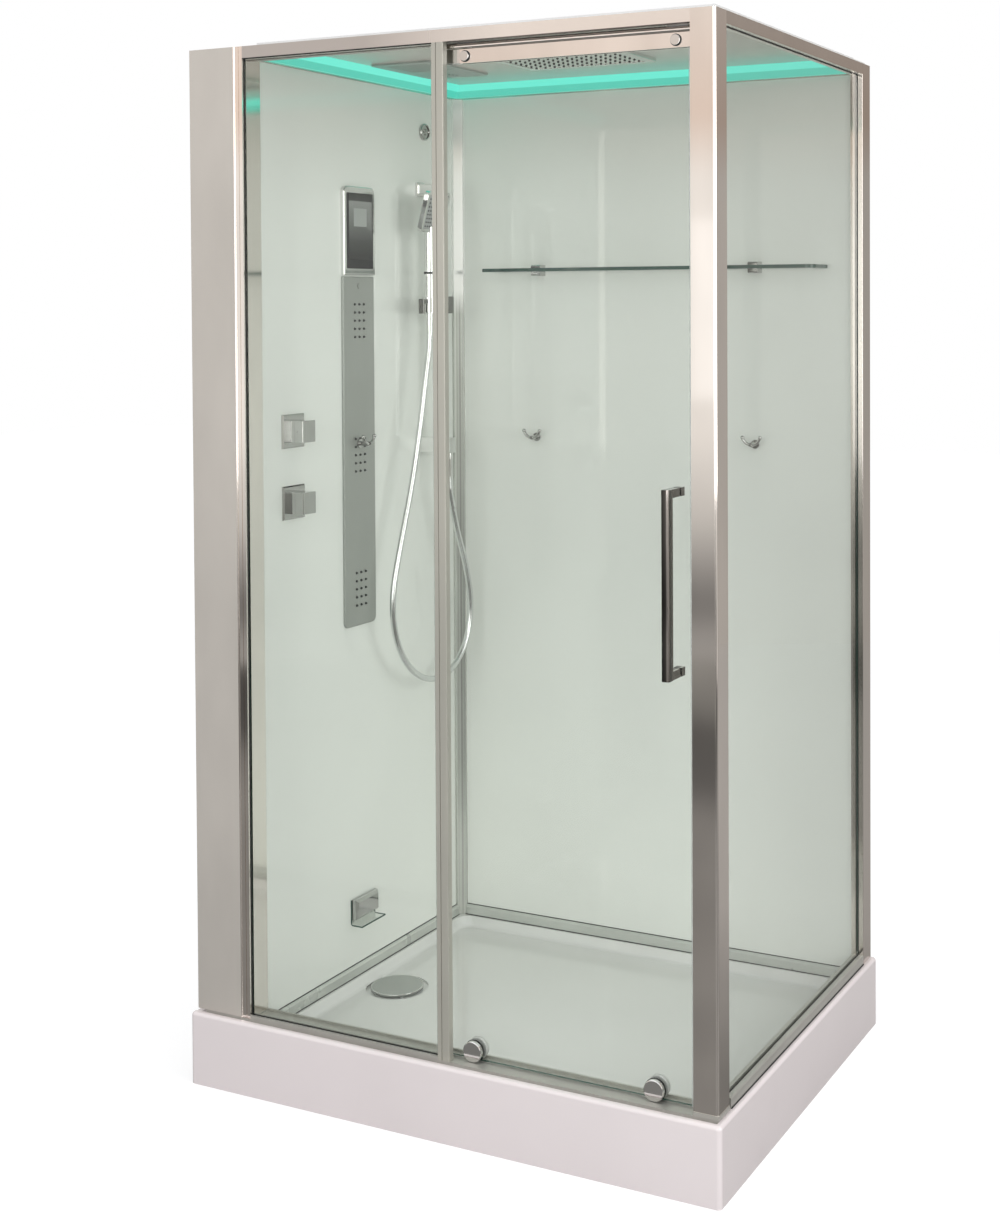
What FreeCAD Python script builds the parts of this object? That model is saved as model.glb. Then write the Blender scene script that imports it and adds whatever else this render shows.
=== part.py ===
import FreeCAD, Part
import math
import os

# Steam shower cabin with a sliding door, in millimetres.
# The origin is the centre of the tray on the floor, +X to the right, +Y to the back, +Z up.
V = FreeCAD.Vector

# Overall sizes
CABIN_WIDTH = 1200.0
CABIN_DEPTH = 900.0
TRAY_HEIGHT = 150.0
FRAME_TOP = 2150.0

# Set-back of the frame from the tray's edges
FRONT_MARGIN = 20.0
RIGHT_MARGIN = 12.0
REAR_MARGIN = 6.0
LEFT_MARGIN = 3.0

# Tray
TRAY_CORNER_RADIUS = 9.0
LIP_WIDTH = 12.0
LIP_RADIUS = 7.0
SEAT_DROP = 4.0
LEDGE_HEIGHT = 110.0
FLOOR_HEIGHT = 88.0
FLOOR_SKIN = 8.0
APRON_WALL = 5.0
WALL_LEDGE_WIDTH = 15.0
WALL_DRAFT = 12.0
RIM_DRAFT = 25.0
BASIN_CORNER_RADIUS = 30.0
BASIN_FLOOR_FILLET = 10.0

# Drain
DRAIN_INSET = 66.0
DRAIN_OFFSET = -38.0
DRAIN_RECESS_RADIUS = 70.0
DRAIN_RECESS_DEPTH = 4.0
DRAIN_HOLE_RADIUS = 42.0
DRAIN_COVER_RADIUS = 57.5
DRAIN_COVER_THICKNESS = 5.5
DRAIN_COVER_FOOT = 4.0
DRAIN_FOOT_RADIUS = 4.0
DRAIN_FOOT_COUNT = 4
TRAP_FLANGE_RADIUS = 64.0
TRAP_FLANGE_THICKNESS = 6.0
TRAP_CUP_RADIUS = 48.0
TRAP_BOTTOM = 20.0
TRAP_WALL = 3.0
WASTE_RADIUS = 20.0
WASTE_HEIGHT = 46.0
WASTE_END_MARGIN = 8.0
WASTE_SOCKET = 60.0
WASTE_SHOULDER = 6.0
WASTE_SHOULDER_RISE = 5.0

# Tray support
BAR_WIDTH = 30.0
BAR_HEIGHT = 20.0
BAR_WALL = 2.0
BAR_END_GAP = 45.0
BAR_INSET_FRONT = 150.0
BAR_INSET_MIDDLE = 300.0
BAR_INSET_REAR = 120.0
FOOT_INSET_LEFT = 120.0
FOOT_INSET_RIGHT = 100.0
FOOT_OFFSET_MIDDLE = 30.0
FOOT_PAD_RADIUS = 20.0
FOOT_PAD_HEIGHT = 12.0
FOOT_STEM_RADIUS = 5.0
FOOT_NUT_RADIUS = 10.0
FOOT_NUT_HEIGHT = 8.0

# Aluminium profiles
PROFILE_WALL = 2.0
PROFILE_EDGE = 1.0
POST_SIZE = 50.0
POST_EDGE_RADIUS = 5.0
POST_TOP_PLUG = 3.0
REAR_POST_WIDTH = 28.0
REAR_POST_DEPTH = 52.0
COLUMN_WIDTH = 116.0
COLUMN_GAP = 1.0
COLUMN_EDGE_RADIUS = 3.0
JAMB_WIDTH = 21.0
JAMB_EDGE_RADIUS = 3.0
GROOVE_WIDTH = 1.6
GROOVE_DEPTH = 2.0
HEADER_HEIGHT = 24.0
TRACK_DEPTH = 58.0
WALL_HEADER_WIDTH = 26.0
STILE_WIDTH = 26.0
STILE_DEPTH = 16.0
STILE_GROOVE_INSET = 9.0
BASE_THICKNESS = 4.0
BASE_UPSTAND = 6.0
BASE_REAR_UPSTAND = 8.0
BASE_REAR_WALL = 4.0
BASE_START = 22.0
BEAD_HEIGHT = 7.0
BEAD_FLOOR = 2.0
SIDE_RAIL_HEIGHT = 24.0
SIDE_SLOT_FLOOR = 12.0
FOOT_PROFILE_HEIGHT = 24.0
FOOT_PROFILE_PROUD = 8.0
FOOT_PROFILE_BEVEL = 5.0
FOOT_PROFILE_FLOOR = 6.0
CORNER_LEG = 22.0
CORNER_LIP = 6.0

# Glass and panels
GLASS = 6.0
GLASS_BITE = 8.0
GLASS_EDGE_GAP = 1.0
GLASS_SIDE_GAP = 0.2
HEADER_SLOT_DEPTH = 14.0
GASKET = 2.0
FIXED_GLASS_SETBACK = 7.0
FIXED_GLASS_VISIBLE = 454.0
DOOR_GLASS_SETBACK = 32.0
SIDE_GLASS_SETBACK = 12.0
WALL_STEP = 2.0
WALL_BACK_GAP = 48.0

# Roof, light strip and ceiling fittings
CEILING_RISE = 10.0
ROOF_THICKNESS = 4.0
ROOF_FLANGE = 20.0
LIGHT_LEDGE = 10.0
LIGHT_FACE = 16.0
LIGHT_COVE = 14.0
RAIN_SIZE = 310.0
RAIN_OFFSET_X = -13.0
RAIN_OFFSET_Y = 1.0
RAIN_THICKNESS = 10.0
RAIN_FRAME = 16.0
RAIN_RECESS = 1.0
RAIN_EDGE_RADIUS = 3.0
RAIN_ROWS = 12
RAIN_NECK_RADIUS = 10.5
RAIN_NECK_RISE = 12.0
NOZZLE_BASE_RADIUS = 3.0
NOZZLE_TIP_RADIUS = 2.0
RAIN_NOZZLE_LENGTH = 2.4
GRILLE_WIDTH = 160.0
GRILLE_LENGTH = 250.0
GRILLE_THICKNESS = 4.0
GRILLE_INSET_X = 35.0
GRILLE_INSET_Y = 171.0
GRILLE_CORNER = 8.0
GRILLE_SLOTS = 10
GRILLE_SLOT_LENGTH = 110.0
GRILLE_SLOT_WIDTH = 4.0
GRILLE_SLOT_PITCH = 11.0
GRILLE_SLOT_START = 25.0
GRILLE_ROUND_INSET = 45.0
GRILLE_HOLE_RADIUS = 2.5
GRILLE_HOLE_PITCH = 9.0

# Shower panel and control head
PANEL_OFFSET = -42.0
PANEL_WIDTH = 120.0
PANEL_DROP = 464.0
PANEL_LENGTH = 786.0
PANEL_THICKNESS = 6.0
PANEL_CORNER = 14.0
PANEL_EDGE = 3.0
SENSOR_DROP = 21.0
SENSOR_RADIUS = 6.0
SENSOR_HEIGHT = 2.0
JET_COLUMNS = 3
JET_ROWS = 5
JET_GROUPS = 3
JET_PITCH_Y = 17.5
JET_PITCH_Z = 18.3
JET_TOP_DROP = 62.0
JET_GROUP_DROP = 302.0
JET_NOZZLE_LENGTH = 3.0
HEAD_GAP = 4.0
HEAD_HEIGHT = 198.0
HEAD_THICKNESS = 10.0
HEAD_CORNER = 14.0
SCREEN_WIDTH = 102.0
SCREEN_HEIGHT = 169.0
SCREEN_RISE = 14.0
SCREEN_RECESS = 3.0
SCREEN_THICKNESS = 2.4
SCREEN_GAP = 0.3
SCREEN_CORNER = 4.0

# Valves
VALVE_INSET = 102.0
VALVE_DROP = 331.0
VALVE_SPACING = 152.0
VALVE_PLATE_WIDTH = 76.0
VALVE_PLATE_HEIGHT = 72.0
VALVE_PLATE_THICKNESS = 5.0
VALVE_PLATE_BEVEL = 3.0
SLEEVE_WIDTH = 44.0
SLEEVE_HEIGHT = 46.0
SLEEVE_LENGTH = 17.0
KNOB_LENGTH = 21.7
KNOB_GAP = 0.3
KNOB_EDGE = 1.5
KNOB_MARK_WIDTH = 9.0
KNOB_MARK_HEIGHT = 3.0
KNOB_MARK_DEPTH = 1.0
SPINDLE_RADIUS = 8.0
SPINDLE_LENGTH = 14.0
RUNNING_GAP = 0.05
VALVE_BODY_RADIUS = 22.0
VALVE_BODY_LENGTH = 54.0
VALVE_NECK_RADIUS = 12.0
WALL_HOLE_GAP = 1.0

# Pipes
PIPE_RADIUS = 7.5
ELBOW_RADIUS = 12.0
INLET_RADIUS = 10.5
INLET_LENGTH = 22.0
INLET_REACH = 2.0
HOT_DROP = 203.0
COLD_DROP = 60.0
INLET_SPREAD = 13.0
ROOF_PIPE_RISE = 22.0
ROOF_PIPE_CROSSING = 120.0

# Steam
STEAM_OFFSET = -37.0
STEAM_BOTTOM = 227.0
GUARD_WIDTH = 92.0
GUARD_HEIGHT = 58.0
GUARD_REACH = 31.0
GUARD_THICKNESS = 3.0
GUARD_BEND = 6.0
STEAM_HOOD_WIDTH = 88.0
STEAM_HOOD_HEIGHT = 45.0
STEAM_HOOD_DEPTH = 14.0
STEAM_HOOD_BEVEL = 6.0
STEAM_SLOT_WIDTH = 66.0
STEAM_SLOT_DEPTH = 7.0
STEAM_SLOT_HEIGHT = 22.0
GENERATOR_DEPTH = 60.0
GENERATOR_WIDTH = 240.0
GENERATOR_HEIGHT = 340.0
GENERATOR_OFFSET = 128.0
GENERATOR_BOTTOM = 420.0
GENERATOR_PIPE_GAP = 5.0
GENERATOR_EDGE = 6.0
STRAP_HEIGHT = 24.0
STRAP_INSET = 50.0

# Riser rail, slider and handset
RAIL_X_REACH = 57.0
RAIL_INSET = 168.0
RAIL_RADIUS = 10.0
RAIL_DROP = 234.0
RAIL_LENGTH = 648.0
UPPER_BRACKET_DROP = 19.0
LOWER_BRACKET_RISE = 22.0
ROSETTE_SIZE = 32.0
ROSETTE_THICKNESS = 6.0
UPPER_ARM_WIDTH = 20.0
UPPER_ARM_HEIGHT = 22.0
LOWER_ARM_WIDTH = 26.0
LOWER_ARM_HEIGHT = 36.0
ARM_NOSE = 14.0
OUTLET_REACH = 22.0
OUTLET_RADIUS = 9.0
OUTLET_LENGTH = 14.0
OUTLET_NOSE = 11.0
SLIDER_DROP = 294.0
SLIDER_WIDTH = 47.0
SLIDER_DEPTH = 36.0
SLIDER_HEIGHT = 40.0
SLIDER_EDGE = 5.0
SLIDER_FIT = 0.1
SLIDER_ARM_WIDTH = 18.0
SLIDER_ARM_HEIGHT = 20.0
CRADLE_REACH_X = 17.0
CRADLE_REACH_Y = 71.0
CRADLE_RADIUS = 17.5
CRADLE_HEIGHT = 36.0
CRADLE_GAP = 0.3
PIVOT_RADIUS = 5.0
PIVOT_LENGTH = 18.0
PIVOT_COLLAR_RADIUS = 9.0
CONE_BOTTOM_RADIUS = 11.0
CONE_TOP_RADIUS = 13.0
HANDLE_RADIUS = 12.0
HANDLE_RISE = 152.0
RING_RISE = 54.0
RING_HEIGHT = 5.0
RING_PROUD = 0.6
HOSE_NUT_RADIUS = 9.5
HOSE_NUT_LENGTH = 8.0
SPRAY_WIDTH = 92.0
SPRAY_LENGTH = 96.0
SPRAY_THICKNESS = 13.0
SPRAY_TILT = 15.0
SPRAY_CORNER = 8.0
SPRAY_RECESS = 1.2
SPRAY_BORDER = 7.0
LEVER_PIVOT_DROP = 26.0
LEVER_PIVOT_RISE = 8.0
LEVER_PIN_RADIUS = 2.5
LEVER_BOSS_RADIUS = 5.0
LEVER_BOSS_WIDTH = 6.0
LEVER_CHEEK = 3.5
LEVER_GAP = 0.3
LEVER_THICKNESS = 6.0
LEVER_LENGTH = 34.0
LEVER_TOP = 6.0

# Shower hose: the route that it hangs in, from the bracket's outlet to the handset
HOSE_RADIUS = 7.0
HOSE_GAP = 0.2
HOSE_ROUTE = (
    (-382.0, 230.0, 1180.0),
    (-384.0, 262.0, 1088.0),
    (-387.0, 312.0, 988.0),
    (-389.0, 338.0, 890.0),
    (-391.0, 316.0, 800.0),
    (-392.0, 242.0, 744.0),
    (-393.0, 148.0, 742.0),
    (-394.0, 62.0, 790.0),
    (-395.0, 12.0, 870.0),
    (-395.0, 2.0, 962.0),
    (-394.0, 34.0, 1068.0),
    (-392.0, 80.0, 1200.0),
    (-390.0, 116.0, 1340.0),
    (-388.5, 142.0, 1470.0),
)
HOSE_END_RUN = 62.0
ARC_SHARE = 0.45

# Shelf and hooks
SHELF_INSET_LEFT = 122.0
SHELF_INSET_RIGHT = 55.0
SHELF_DEPTH = 95.0
SHELF_DROP = 450.0
SHELF_THICKNESS = 8.0
SHELF_CORNER = 18.0
CLAMP_INSET_LEFT = 116.0
CLAMP_INSET_RIGHT = 169.0
CLAMP_WIDTH = 24.0
CLAMP_DEPTH = 28.0
CLAMP_LIP = 9.0
CLAMP_EDGE = 4.0
CLAMP_GAP = 0.1
HOOK_INSET_LEFT = 103.0
HOOK_INSET_RIGHT = 174.0
HOOK_DROP = 398.0
HOOK_ROSE_RADIUS = 10.0
HOOK_ROSE_THICKNESS = 4.0
HOOK_STEM_RADIUS = 5.0
HOOK_STEM_LENGTH = 22.0
HOOK_ARM_RADIUS = 3.4
HOOK_ARM_BEND = 22.0
HOOK_ARM_SWEEP = 75.0
HOOK_TIP_RADIUS = 4.6

# Wall speaker
SPEAKER_INSET = 146.0
SPEAKER_DROP = 115.0
SPEAKER_RADIUS = 20.0
SPEAKER_THICKNESS = 7.0
SPEAKER_RIM = 4.0
SPEAKER_DISH = 2.5
SPEAKER_HOLE_RADIUS = 2.0
SPEAKER_HOLE_PITCH = 7.0

# Door
DOOR_OVERLAP = 4.0
DOOR_SEAL = 7.4
DOOR_SEAL_GAP = 0.6
DOOR_CLEARANCE = 3.0
SEAL_WALL = 1.5
SEAL_FIN_GAP = 0.5
TOP_RAIL_BAR_HEIGHT = 27.0
TOP_RAIL_BAR_DEPTH = 18.0
TOP_RAIL_ROUND_HEIGHT = 11.0
TOP_RAIL_ROUND_DEPTH = 26.0
TOP_RAIL_ROUND_RADIUS = 5.0
TOP_RAIL_DROP = 2.0
TOP_RAIL_SLOT = 20.0
END_BLOCK_LENGTH = 52.0
END_BLOCK_SETBACK = 1.0
CAP_RADIUS = 10.0
CAP_THICKNESS = 5.0
CAP_INSET_LEFT = 64.0
CAP_INSET_RIGHT = 31.0
HANGER_WIDTH = 40.0
HANGER_THICKNESS = 3.0
TRACK_SLOT = 12.0
WHEEL_GAP = 0.3
UPPER_WHEEL_RADIUS = 8.5
UPPER_WHEEL_WIDTH = 7.0
UPPER_WHEEL_OFFSET = 11.5
UPPER_AXLE_RADIUS = 3.0
LOWER_WHEEL_RADIUS = 21.0
LOWER_WHEEL_WIDTH = 11.0
LOWER_WHEEL_GROOVE = 2.0
LOWER_AXLE_RADIUS = 5.0
LOWER_CAP_RADIUS = 20.5
LOWER_CAP_LENGTH = 12.0
LOWER_CAP_BEVEL = 1.5
WASHER_THICKNESS = 2.0
WASHER_RADIUS = 19.0
WASHER_GAP = 0.2
COLLAR_RADIUS = 9.0
COLLAR_LENGTH = 1.7
RETAINER_LENGTH = 2.0
LOWER_INSET_LEFT = 70.0
LOWER_INSET_RIGHT = 81.0
GLASS_HOLE_GAP = 0.5
HANDLE_INSET = 37.0
HANDLE_BOTTOM = 940.0
HANDLE_LENGTH = 347.0
HANDLE_WIDTH = 16.0
HANDLE_BAR_DEPTH = 22.0
HANDLE_STANDOFF = 28.0
HANDLE_ROUND = 4.0
STUD_RADIUS = 4.0
NUT_SIZE = 16.0
NUT_LENGTH = 16.0
NUT_BORE = 12.0

# Planes that follow from the sizes
LEFT = -CABIN_WIDTH / 2
RIGHT = CABIN_WIDTH / 2
FRONT = -CABIN_DEPTH / 2
BACK = CABIN_DEPTH / 2
FRAME_LEFT = LEFT + LEFT_MARGIN
FRAME_RIGHT = RIGHT - RIGHT_MARGIN
FRAME_FRONT = FRONT + FRONT_MARGIN
FRAME_REAR = BACK - REAR_MARGIN
SEAT = TRAY_HEIGHT - SEAT_DROP
TRACK_FLOOR = SEAT + BASE_THICKNESS
POST_FOOT = SEAT + BASE_UPSTAND
BEAD_TOP = POST_FOOT + BEAD_HEIGHT
HEADER_BOTTOM = FRAME_TOP - HEADER_HEIGHT
TRACK_REAR = FRAME_FRONT + TRACK_DEPTH
COLUMN_RIGHT = FRAME_LEFT + COLUMN_WIDTH
JAMB_RIGHT = COLUMN_RIGHT + JAMB_WIDTH
STILE_LEFT = JAMB_RIGHT + FIXED_GLASS_VISIBLE
STILE_RIGHT = STILE_LEFT + STILE_WIDTH
STILE_BACK = FRAME_FRONT + STILE_DEPTH
POST_LEFT = FRAME_RIGHT - POST_SIZE
POST_BACK = FRAME_FRONT + POST_SIZE
SIDE_LEFT = FRAME_RIGHT - REAR_POST_WIDTH
REAR_POST_FRONT = FRAME_REAR - REAR_POST_DEPTH
WALL_X = JAMB_RIGHT - WALL_STEP
WALL_BACK_X = WALL_X - GLASS
WALL_Y = FRAME_REAR - WALL_BACK_GAP
FIXED_FRONT = FRAME_FRONT + FIXED_GLASS_SETBACK
FIXED_BACK = FIXED_FRONT + GLASS
DOOR_FRONT = FRAME_FRONT + DOOR_GLASS_SETBACK
DOOR_BACK = DOOR_FRONT + GLASS
DOOR_MIDDLE = DOOR_FRONT + GLASS / 2
SIDE_OUTER = FRAME_RIGHT - SIDE_GLASS_SETBACK
SIDE_INNER = SIDE_OUTER - GLASS
ROOM_MIDDLE_X = (WALL_X + SIDE_LEFT) / 2
ROOM_MIDDLE_Y = (TRACK_REAR + WALL_Y) / 2
CEILING = FRAME_TOP + CEILING_RISE
ROOF_TOP = CEILING + ROOF_THICKNESS
BASIN_LEFT = WALL_X + WALL_LEDGE_WIDTH
BASIN_BACK = WALL_Y - WALL_LEDGE_WIDTH
FLOOR_LEFT = BASIN_LEFT + WALL_DRAFT
FLOOR_BACK = BASIN_BACK - WALL_DRAFT
FLOOR_FRONT = TRACK_REAR + RIM_DRAFT
FLOOR_RIGHT = SIDE_LEFT - RIM_DRAFT
UNDERSIDE = FLOOR_HEIGHT - FLOOR_SKIN
BAR_ROWS = (FRONT + BAR_INSET_FRONT, BACK - BAR_INSET_MIDDLE, BACK - BAR_INSET_REAR)
FOOT_COLUMNS = (LEFT + FOOT_INSET_LEFT, FOOT_OFFSET_MIDDLE, RIGHT - FOOT_INSET_RIGHT)
DRAIN_X = FLOOR_LEFT + DRAIN_INSET
DRAIN_Y = ROOM_MIDDLE_Y + DRAIN_OFFSET
DRAIN_SEAT = FLOOR_HEIGHT - DRAIN_RECESS_DEPTH
RAIN_X = ROOM_MIDDLE_X + RAIN_OFFSET_X
RAIN_Y = ROOM_MIDDLE_Y + RAIN_OFFSET_Y
GRILLE_X = JAMB_RIGHT + GRILLE_INSET_X + GRILLE_WIDTH / 2
GRILLE_Y = WALL_Y - GRILLE_INSET_Y - GRILLE_LENGTH / 2
PANEL_Y = ROOM_MIDDLE_Y + PANEL_OFFSET
PANEL_TOP = FRAME_TOP - PANEL_DROP
PANEL_BOTTOM = PANEL_TOP - PANEL_LENGTH
PANEL_FACE = WALL_X + PANEL_THICKNESS
HEAD_BOTTOM = PANEL_TOP + HEAD_GAP
HEAD_FACE = WALL_X + HEAD_THICKNESS
SCREEN_BOTTOM = HEAD_BOTTOM + SCREEN_RISE
VALVE_Y = TRACK_REAR + VALVE_INSET
DIVERTER_Z = PANEL_TOP - VALVE_DROP
MIXER_Z = DIVERTER_Z - VALVE_SPACING
HOT_Z = MIXER_Z - HOT_DROP
COLD_Z = HOT_Z - COLD_DROP
STEAM_Y = ROOM_MIDDLE_Y + STEAM_OFFSET
GENERATOR_Y = ROOM_MIDDLE_Y + GENERATOR_OFFSET
SLEEVE_BACK = WALL_X + VALVE_PLATE_THICKNESS
KNOB_BACK = SLEEVE_BACK + SLEEVE_LENGTH + KNOB_GAP
PIPE_X = WALL_BACK_X - VALVE_BODY_LENGTH / 2
RAIL_X = WALL_X + RAIL_X_REACH
RAIL_Y = WALL_Y - RAIL_INSET
RAIL_TOP = FRAME_TOP - RAIL_DROP
RAIL_BOTTOM = RAIL_TOP - RAIL_LENGTH
UPPER_BRACKET_Z = RAIL_TOP - UPPER_BRACKET_DROP
LOWER_BRACKET_Z = RAIL_BOTTOM + LOWER_BRACKET_RISE
SLIDER_Z = RAIL_TOP - SLIDER_DROP
CRADLE_X = RAIL_X + CRADLE_REACH_X
CRADLE_Y = RAIL_Y - CRADLE_REACH_Y
CRADLE_BOTTOM = SLIDER_Z - CRADLE_HEIGHT / 2
CRADLE_TOP = CRADLE_BOTTOM + CRADLE_HEIGHT
HANDLE_TOP = CRADLE_TOP + HANDLE_RISE
RING_Z = CRADLE_TOP + RING_RISE
OUTLET_X = RAIL_X + OUTLET_REACH
OUTLET_END = LOWER_BRACKET_Z - LOWER_ARM_HEIGHT / 2 - OUTLET_LENGTH
HANDSET_END = CRADLE_BOTTOM - HOSE_NUT_LENGTH
LEVER_PIVOT_Y = CRADLE_Y - LEVER_PIVOT_DROP
LEVER_PIVOT_Z = SLIDER_Z + LEVER_PIVOT_RISE
SHELF_LEFT = WALL_X + SHELF_INSET_LEFT
SHELF_RIGHT = SIDE_LEFT - SHELF_INSET_RIGHT
SHELF_Z = FRAME_TOP - SHELF_DROP
CLAMP_COLUMNS = (SHELF_LEFT + CLAMP_INSET_LEFT, SHELF_RIGHT - CLAMP_INSET_RIGHT)
HOOK_COLUMNS = (SHELF_LEFT + HOOK_INSET_LEFT, SHELF_RIGHT - HOOK_INSET_RIGHT)
HOOK_Z = SHELF_Z - HOOK_DROP
SPEAKER_Y = WALL_Y - SPEAKER_INSET
SPEAKER_Z = FRAME_TOP - SPEAKER_DROP
DOOR_LEFT = STILE_LEFT - DOOR_OVERLAP
DOOR_RIGHT = POST_LEFT - DOOR_SEAL - DOOR_SEAL_GAP
DOOR_BOTTOM = TRACK_FLOOR + DOOR_CLEARANCE
TOP_RAIL_TOP = HEADER_BOTTOM - TOP_RAIL_DROP
TOP_RAIL_SHOULDER = TOP_RAIL_TOP - TOP_RAIL_ROUND_HEIGHT
TOP_RAIL_BOTTOM = TOP_RAIL_SHOULDER - TOP_RAIL_BAR_HEIGHT
DOOR_TOP = TOP_RAIL_BOTTOM + TOP_RAIL_SLOT
TOP_RAIL_FRONT = DOOR_MIDDLE - TOP_RAIL_BAR_DEPTH / 2
TRACK_FLANGE = HEADER_BOTTOM + PROFILE_WALL
UPPER_WHEEL_Z = TRACK_FLANGE + WHEEL_GAP + UPPER_WHEEL_RADIUS
LOWER_WHEEL_Z = TRACK_FLOOR + WHEEL_GAP + LOWER_WHEEL_RADIUS
LOWER_WHEEL_FRONT = DOOR_BACK + COLLAR_LENGTH + WHEEL_GAP
LOWER_WHEEL_BACK = LOWER_WHEEL_FRONT + LOWER_WHEEL_WIDTH
UPPER_COLUMNS = (DOOR_LEFT + CAP_INSET_LEFT, DOOR_RIGHT - CAP_INSET_RIGHT)
LOWER_COLUMNS = (DOOR_LEFT + LOWER_INSET_LEFT, DOOR_RIGHT - LOWER_INSET_RIGHT)
HANDLE_X = DOOR_RIGHT - HANDLE_INSET
HANDLE_TOP_END = HANDLE_BOTTOM + HANDLE_LENGTH
STUD_HEIGHTS = (HANDLE_BOTTOM + HANDLE_WIDTH / 2, HANDLE_TOP_END - HANDLE_WIDTH / 2)
PAST = 1.0


def box(x0, x1, y0, y1, z0, z1):
    return Part.makeBox(x1 - x0, y1 - y0, z1 - z0, V(x0, y0, z0))


def rod_x(radius, x0, x1, y, z):
    return Part.makeCylinder(radius, x1 - x0, V(x0, y, z), V(1, 0, 0))


def rod_y(radius, x, y0, y1, z):
    return Part.makeCylinder(radius, y1 - y0, V(x, y0, z), V(0, 1, 0))


def rod_z(radius, x, y, z0, z1):
    return Part.makeCylinder(radius, z1 - z0, V(x, y, z0), V(0, 0, 1))


def extrude(points, travel):
    """A closed outline of straight edges, pushed along a vector."""
    corners = [V(*point) for point in points]
    wire = Part.makePolygon(corners + corners[:1])
    return Part.Face(wire).extrude(V(*travel))


def extrude_x(outline, x0, x1):
    return extrude([(x0, y, z) for y, z in outline], (x1 - x0, 0, 0))


def extrude_y(outline, y0, y1):
    return extrude([(x, y0, z) for x, z in outline], (0, y1 - y0, 0))


def extrude_z(outline, z0, z1):
    return extrude([(x, y, z0) for x, y in outline], (0, 0, z1 - z0))


def edges_along(shape, axis, near=None):
    """The straight edges along an axis, those whose middle passes the test if there is one."""
    found = []
    for edge in shape.Edges:
        if not isinstance(edge.Curve, Part.Line):
            continue
        direction = edge.tangentAt(edge.FirstParameter)
        if abs(direction.dot(axis)) < 0.999:
            continue
        if near is None or near(edge.CenterOfMass):
            found.append(edge)
    return found


def face_edges(shape, test):
    """Every edge of the flat faces whose centre passes the test."""
    found = {}
    for face in shape.Faces:
        if isinstance(face.Surface, Part.Plane) and test(face.CenterOfMass):
            for edge in face.Edges:
                found[edge.hashCode()] = edge
    return list(found.values())


def close(a, b):
    return abs(a - b) < 0.01


def fuse(shapes):
    return shapes[0].multiFuse(shapes[1:]).removeSplitter()


def rounded_outline(x0, x1, y0, y1, z, radius):
    """A horizontal rectangle with round corners, as a wire."""
    block = box(x0, x1, y0, y1, z, z + PAST)
    block = block.makeFillet(radius, edges_along(block, V(0, 0, 1)))
    for face in block.Faces:
        if close(face.CenterOfMass.z, z) and close(abs(face.normalAt(0, 0).z), 1):
            return face.OuterWire
    raise ValueError("no lower face")


def basin():
    """The hollow of the tray, drafted to its floor."""
    rise = (TRAY_HEIGHT - FLOOR_HEIGHT) / (LEDGE_HEIGHT - FLOOR_HEIGHT)
    wall = WALL_DRAFT * rise
    floor = rounded_outline(FLOOR_LEFT, FLOOR_RIGHT, FLOOR_FRONT, FLOOR_BACK, FLOOR_HEIGHT,
                            BASIN_CORNER_RADIUS)
    rim = rounded_outline(FLOOR_LEFT - wall, SIDE_LEFT, TRACK_REAR, FLOOR_BACK + wall, TRAY_HEIGHT,
                          BASIN_CORNER_RADIUS)
    hollow = Part.makeLoft([floor, rim], True, True)
    return hollow.makeFillet(BASIN_FLOOR_FILLET, face_edges(hollow, lambda c: close(c.z, FLOOR_HEIGHT)))


def shower_tray():
    tray = box(LEFT, RIGHT, FRONT, BACK, 0, TRAY_HEIGHT)
    tray = tray.makeFillet(TRAY_CORNER_RADIUS, edges_along(tray, V(0, 0, 1)))
    tray = tray.makeFillet(LIP_RADIUS, face_edges(tray, lambda c: close(c.z, TRAY_HEIGHT)))
    inner_right = RIGHT - LIP_WIDTH
    inner_front = FRONT + LIP_WIDTH
    above = TRAY_HEIGHT + PAST
    seat = box(LEFT - PAST, inner_right, inner_front, BACK + PAST, SEAT, above)
    left_ledge = box(LEFT - PAST, DRAIN_X, TRACK_REAR, BACK + PAST, LEDGE_HEIGHT, above)
    back_ledge = box(LEFT - PAST, SIDE_LEFT, FLOOR_BACK - WALL_LEDGE_WIDTH, BACK + PAST, LEDGE_HEIGHT, above)
    recess = rod_z(DRAIN_RECESS_RADIUS, DRAIN_X, DRAIN_Y, DRAIN_SEAT, FLOOR_HEIGHT + PAST)
    hole = rod_z(DRAIN_HOLE_RADIUS, DRAIN_X, DRAIN_Y, 0, FLOOR_HEIGHT)
    apron_front = FRONT + APRON_WALL
    apron_right = RIGHT - APRON_WALL
    under = box(LEFT - PAST, apron_right, apron_front, BACK + PAST, -PAST, UNDERSIDE)
    under_front = box(LEFT - PAST, apron_right, apron_front, TRACK_REAR - APRON_WALL, -PAST, SEAT - APRON_WALL)
    under_right = box(SIDE_LEFT + APRON_WALL, apron_right, apron_front, BACK + PAST, -PAST, SEAT - APRON_WALL)
    under_left = box(LEFT + APRON_WALL, BASIN_LEFT - APRON_WALL, apron_front, BACK - APRON_WALL, -PAST,
                     LEDGE_HEIGHT - APRON_WALL)
    under_back = box(LEFT + APRON_WALL, SIDE_LEFT, BASIN_BACK + APRON_WALL, BACK - APRON_WALL, -PAST,
                     LEDGE_HEIGHT - APRON_WALL)
    cuts = [seat, left_ledge, back_ledge, basin(), recess, hole]
    cuts += [under, under_front, under_right, under_left, under_back]
    for cut in cuts:
        tray = tray.cut(cut)
    return tray


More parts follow.
